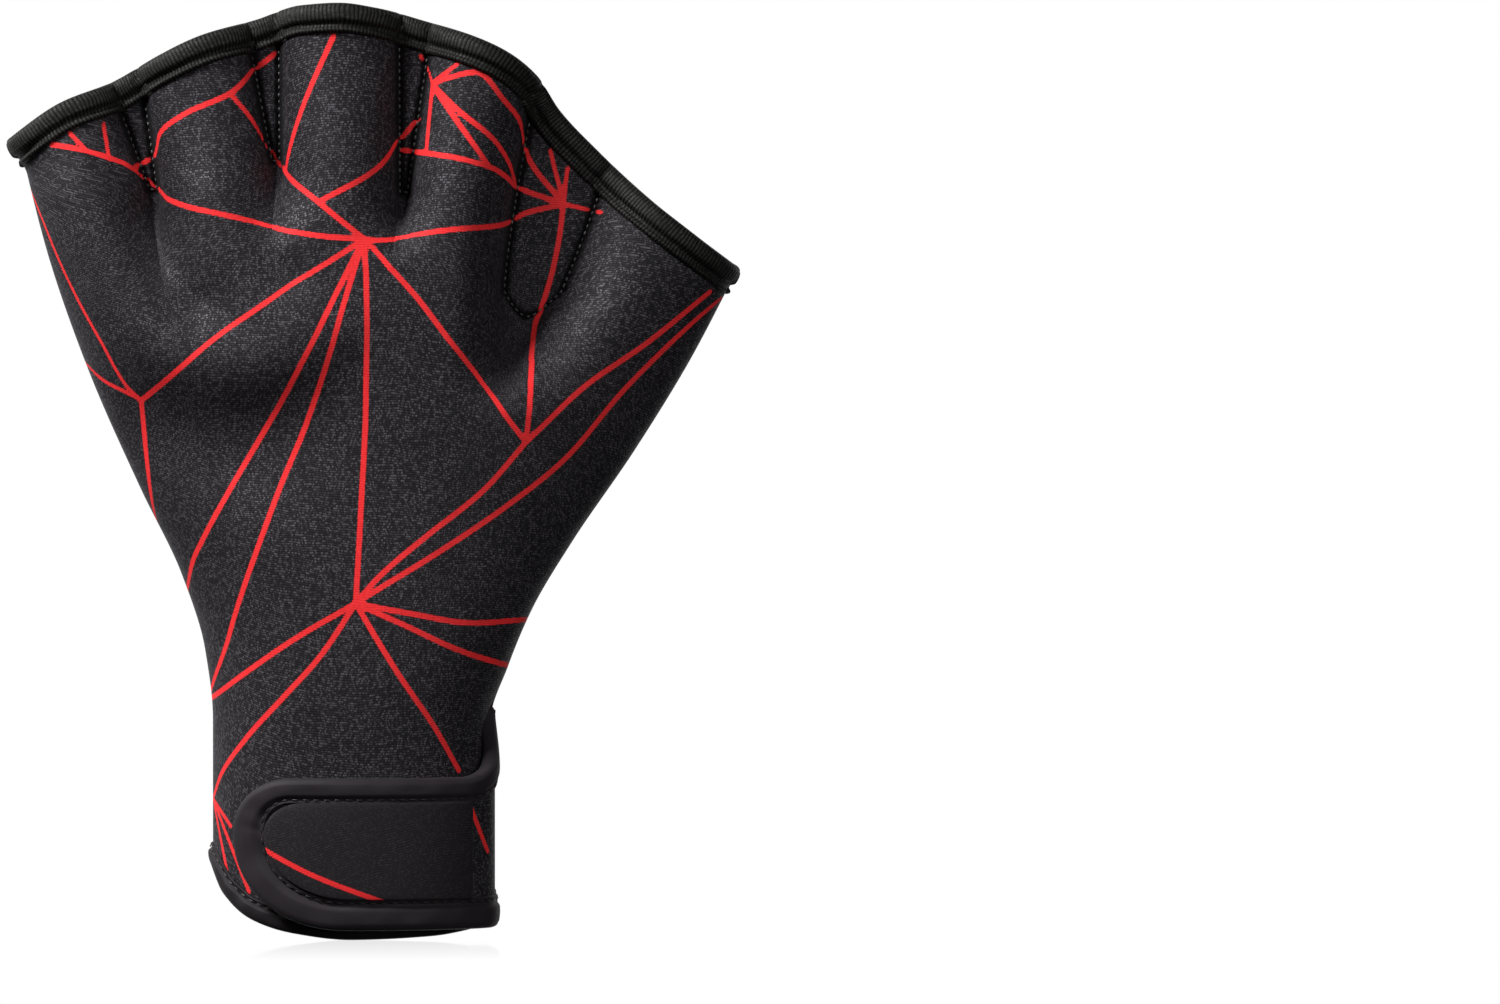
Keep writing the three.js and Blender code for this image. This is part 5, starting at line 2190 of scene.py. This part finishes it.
@dataclass
class WristSet:
    """The strap with its patch, hook pad and tape, the hem's tape, and the thread of both tapes.

    The half-widths are those of printed lines, and patch_under is how far the patch reaches under
    the tape. Each thread is how far in from its tape's edge it runs, and how far short it stops.
    """

    strap: Strap
    art: LineArt
    finishes: Finishes
    line_half_width: float = 0.55 * MM
    patch_line_half_width: float = 0.5 * MM
    patch_dome: float = 0.55 * MM
    patch_under: float = 0.3 * MM
    hem_steps: int = 400
    strap_thread: tuple[float, float] = (4.35 * MM, 6 * MM)
    hem_thread: tuple[float, float] = (3.15 * MM, 4 * MM)
    thread_lift: float = 0.55 * MM

    def build(self) -> None:
        """Make all the pieces in order."""
        self.layers()
        tape = self.strap_tape()
        self.stitches([(tape, *self.strap_thread), (self.hem_tape(), *self.hem_thread)])

    def layers(self) -> None:
        """Make the band, the patch on its face and the hook pad under its tip."""
        strap, gap = self.strap, self.strap.form.seam_gap
        face = strap.wall / 2
        line = strap.line_on(self.art.STRAP_LINE, self.art, face)
        lines = [(line, self.line_half_width)]
        band = strap.layer("strap_band", 0.0, Inset(), face, -face, lines=lines)
        register(band, "printed_neoprene", self.finishes.printed, "strap")
        low = face + gap
        top = low + strap.patch_wall
        lines = [(strap.line_on(self.art.PATCH_LINE, self.art, top), self.patch_line_half_width)]
        within = strap.taped.less(self.patch_under)
        patch = strap.layer("bare_patch", strap.patch_start, within, top, low, self.patch_dome, lines)
        register(patch, "patch_cloth", self.finishes.patch, "strap_patch")
        inset = strap.taped.less(-gap)
        start = strap.length - inset.tip - strap.hook_length
        pad = strap.layer("hook_tape", start, inset, -low, -low - strap.hook_wall)
        register(pad, "hook_tape", self.finishes.hooks, "hook_pad")

    def strap_tape(self) -> CuffTape:
        """Make the strap's tape.

        Returns:
            The tape.
        """
        strap = self.strap
        leg, lip = {"leg": 5.3 * MM, "inner_leg": 4.4 * MM}, {"lip": 0.9 * MM, "lip_height": 0.4 * MM}
        section = TapeSection(strap.wall, **leg, **lip, roll=0.35 * MM, groove=0.4 * MM, flatness=0.35)
        edge, width = strap.outline(strap.form.seam_gap)
        tape = CuffTape("strap_tape", strap.cuff, edge, section, width)
        register(tape.build(), "smooth_tape", self.finishes.smooth, "strap_binding")
        return tape

    def hem_tape(self) -> CuffTape:
        """Make the hem's tape, from the slit over the back and round the palm.

        Returns:
            The tape.
        """
        form, cuff = self.strap.form, self.strap.plain
        leg, lip = {"leg": 3.9 * MM, "inner_leg": 4.2 * MM}, {"lip": 0.7 * MM, "lip_height": 0.3 * MM}
        section = TapeSection(form.wall, **leg, **lip, roll=0.3 * MM, groove=0.3 * MM)
        a = np.linspace(self.strap.slit_length, cuff.length[-1], self.hem_steps)
        across = cuff.across(a)
        on_back = a < cuff.length[-1] / 2
        z = np.where(on_back, form.hem_at(Side.BACK, across), form.hem_at(Side.PALM, across))
        hem = CuffTape("hem_tape", cuff, np.stack([a, z], -1), section)
        # The hem's tape wears the darker copy of the smooth tape, which is painted shade.
        register(hem.build(), "smooth_tape", self.finishes.hem, "wrist_binding")
        return hem

    def stitches(self, rows: Sequence[tuple[CuffTape, float, float]]) -> None:
        """Make the thread that holds the tapes.

        Args:
            rows: each tape, how far in from its edge the thread runs and where it stops short.
        """
        runs = []
        for tape, depth, trim in rows:
            places = tape.inset_line(depth, trim)
            lift = tape.section.wrapped / 2 + self.thread_lift
            base, point = (tape.cuff.point(places[:, 0], places[:, 1], n) for n in (0.0, lift))
            runs.append((point, unit(point - base)))
        stitches = ThreadStitches("tape_stitches", radius=0.14 * MM, length=1.5 * MM, pitch=2.3 * MM)
        register(stitches.build(runs), "smooth_tape", self.finishes.thread)


def main() -> None:
    """Build every piece of the glove in order, and dress it."""
    logging.basicConfig(level=logging.INFO, format="%(name)s %(message)s")
    form = GloveForm(folds=FOLDS)
    art = LineArt()
    strap = Strap(form)
    Studio().build()
    finishes = Finishes()

    back = Panel(form, Side.BACK, "back_cloth").build(art)
    register(back, "printed_neoprene", finishes.printed, "back_panel")
    palm = Panel(form, Side.PALM, "palm_cloth", (28, 8, 24, 8, 24, 8, 24, 16, 28), 181).build()
    register(palm, "plain_neoprene", finishes.plain, "palm_panel")
    section = TapeSection(wrapped=form.wall, leg=5.6 * MM, inner_leg=3.5 * MM, roll=0.5 * MM, flatness=0.42)
    for side, label in ((Side.BACK, "back"), (Side.PALM, "palm")):
        tape = FingerBinding(form, side, f"{label}_finger_tape", section).build()
        register(tape, "ribbed_tape", finishes.ribbed, f"{label}_finger_binding")
    WristSet(strap, art, finishes).build()

    seams = Seams(form)
    stitches = ThreadStitches("web_stitches", radius=0.21 * MM, length=0.9 * MM, pitch=1.5 * MM)
    # The web stitches wear the black thread with painted glints.
    register(stitches.build(seams.webs(Side.BACK) + seams.webs(Side.PALM)), "smooth_tape", finishes.painted_glint_thread)
    sides = ThreadStitches("side_stitches", radius=0.16 * MM)
    register(sides.zigzag(seams.sides()), "smooth_tape", finishes.thread)


if __name__ == "__main__":
    main()
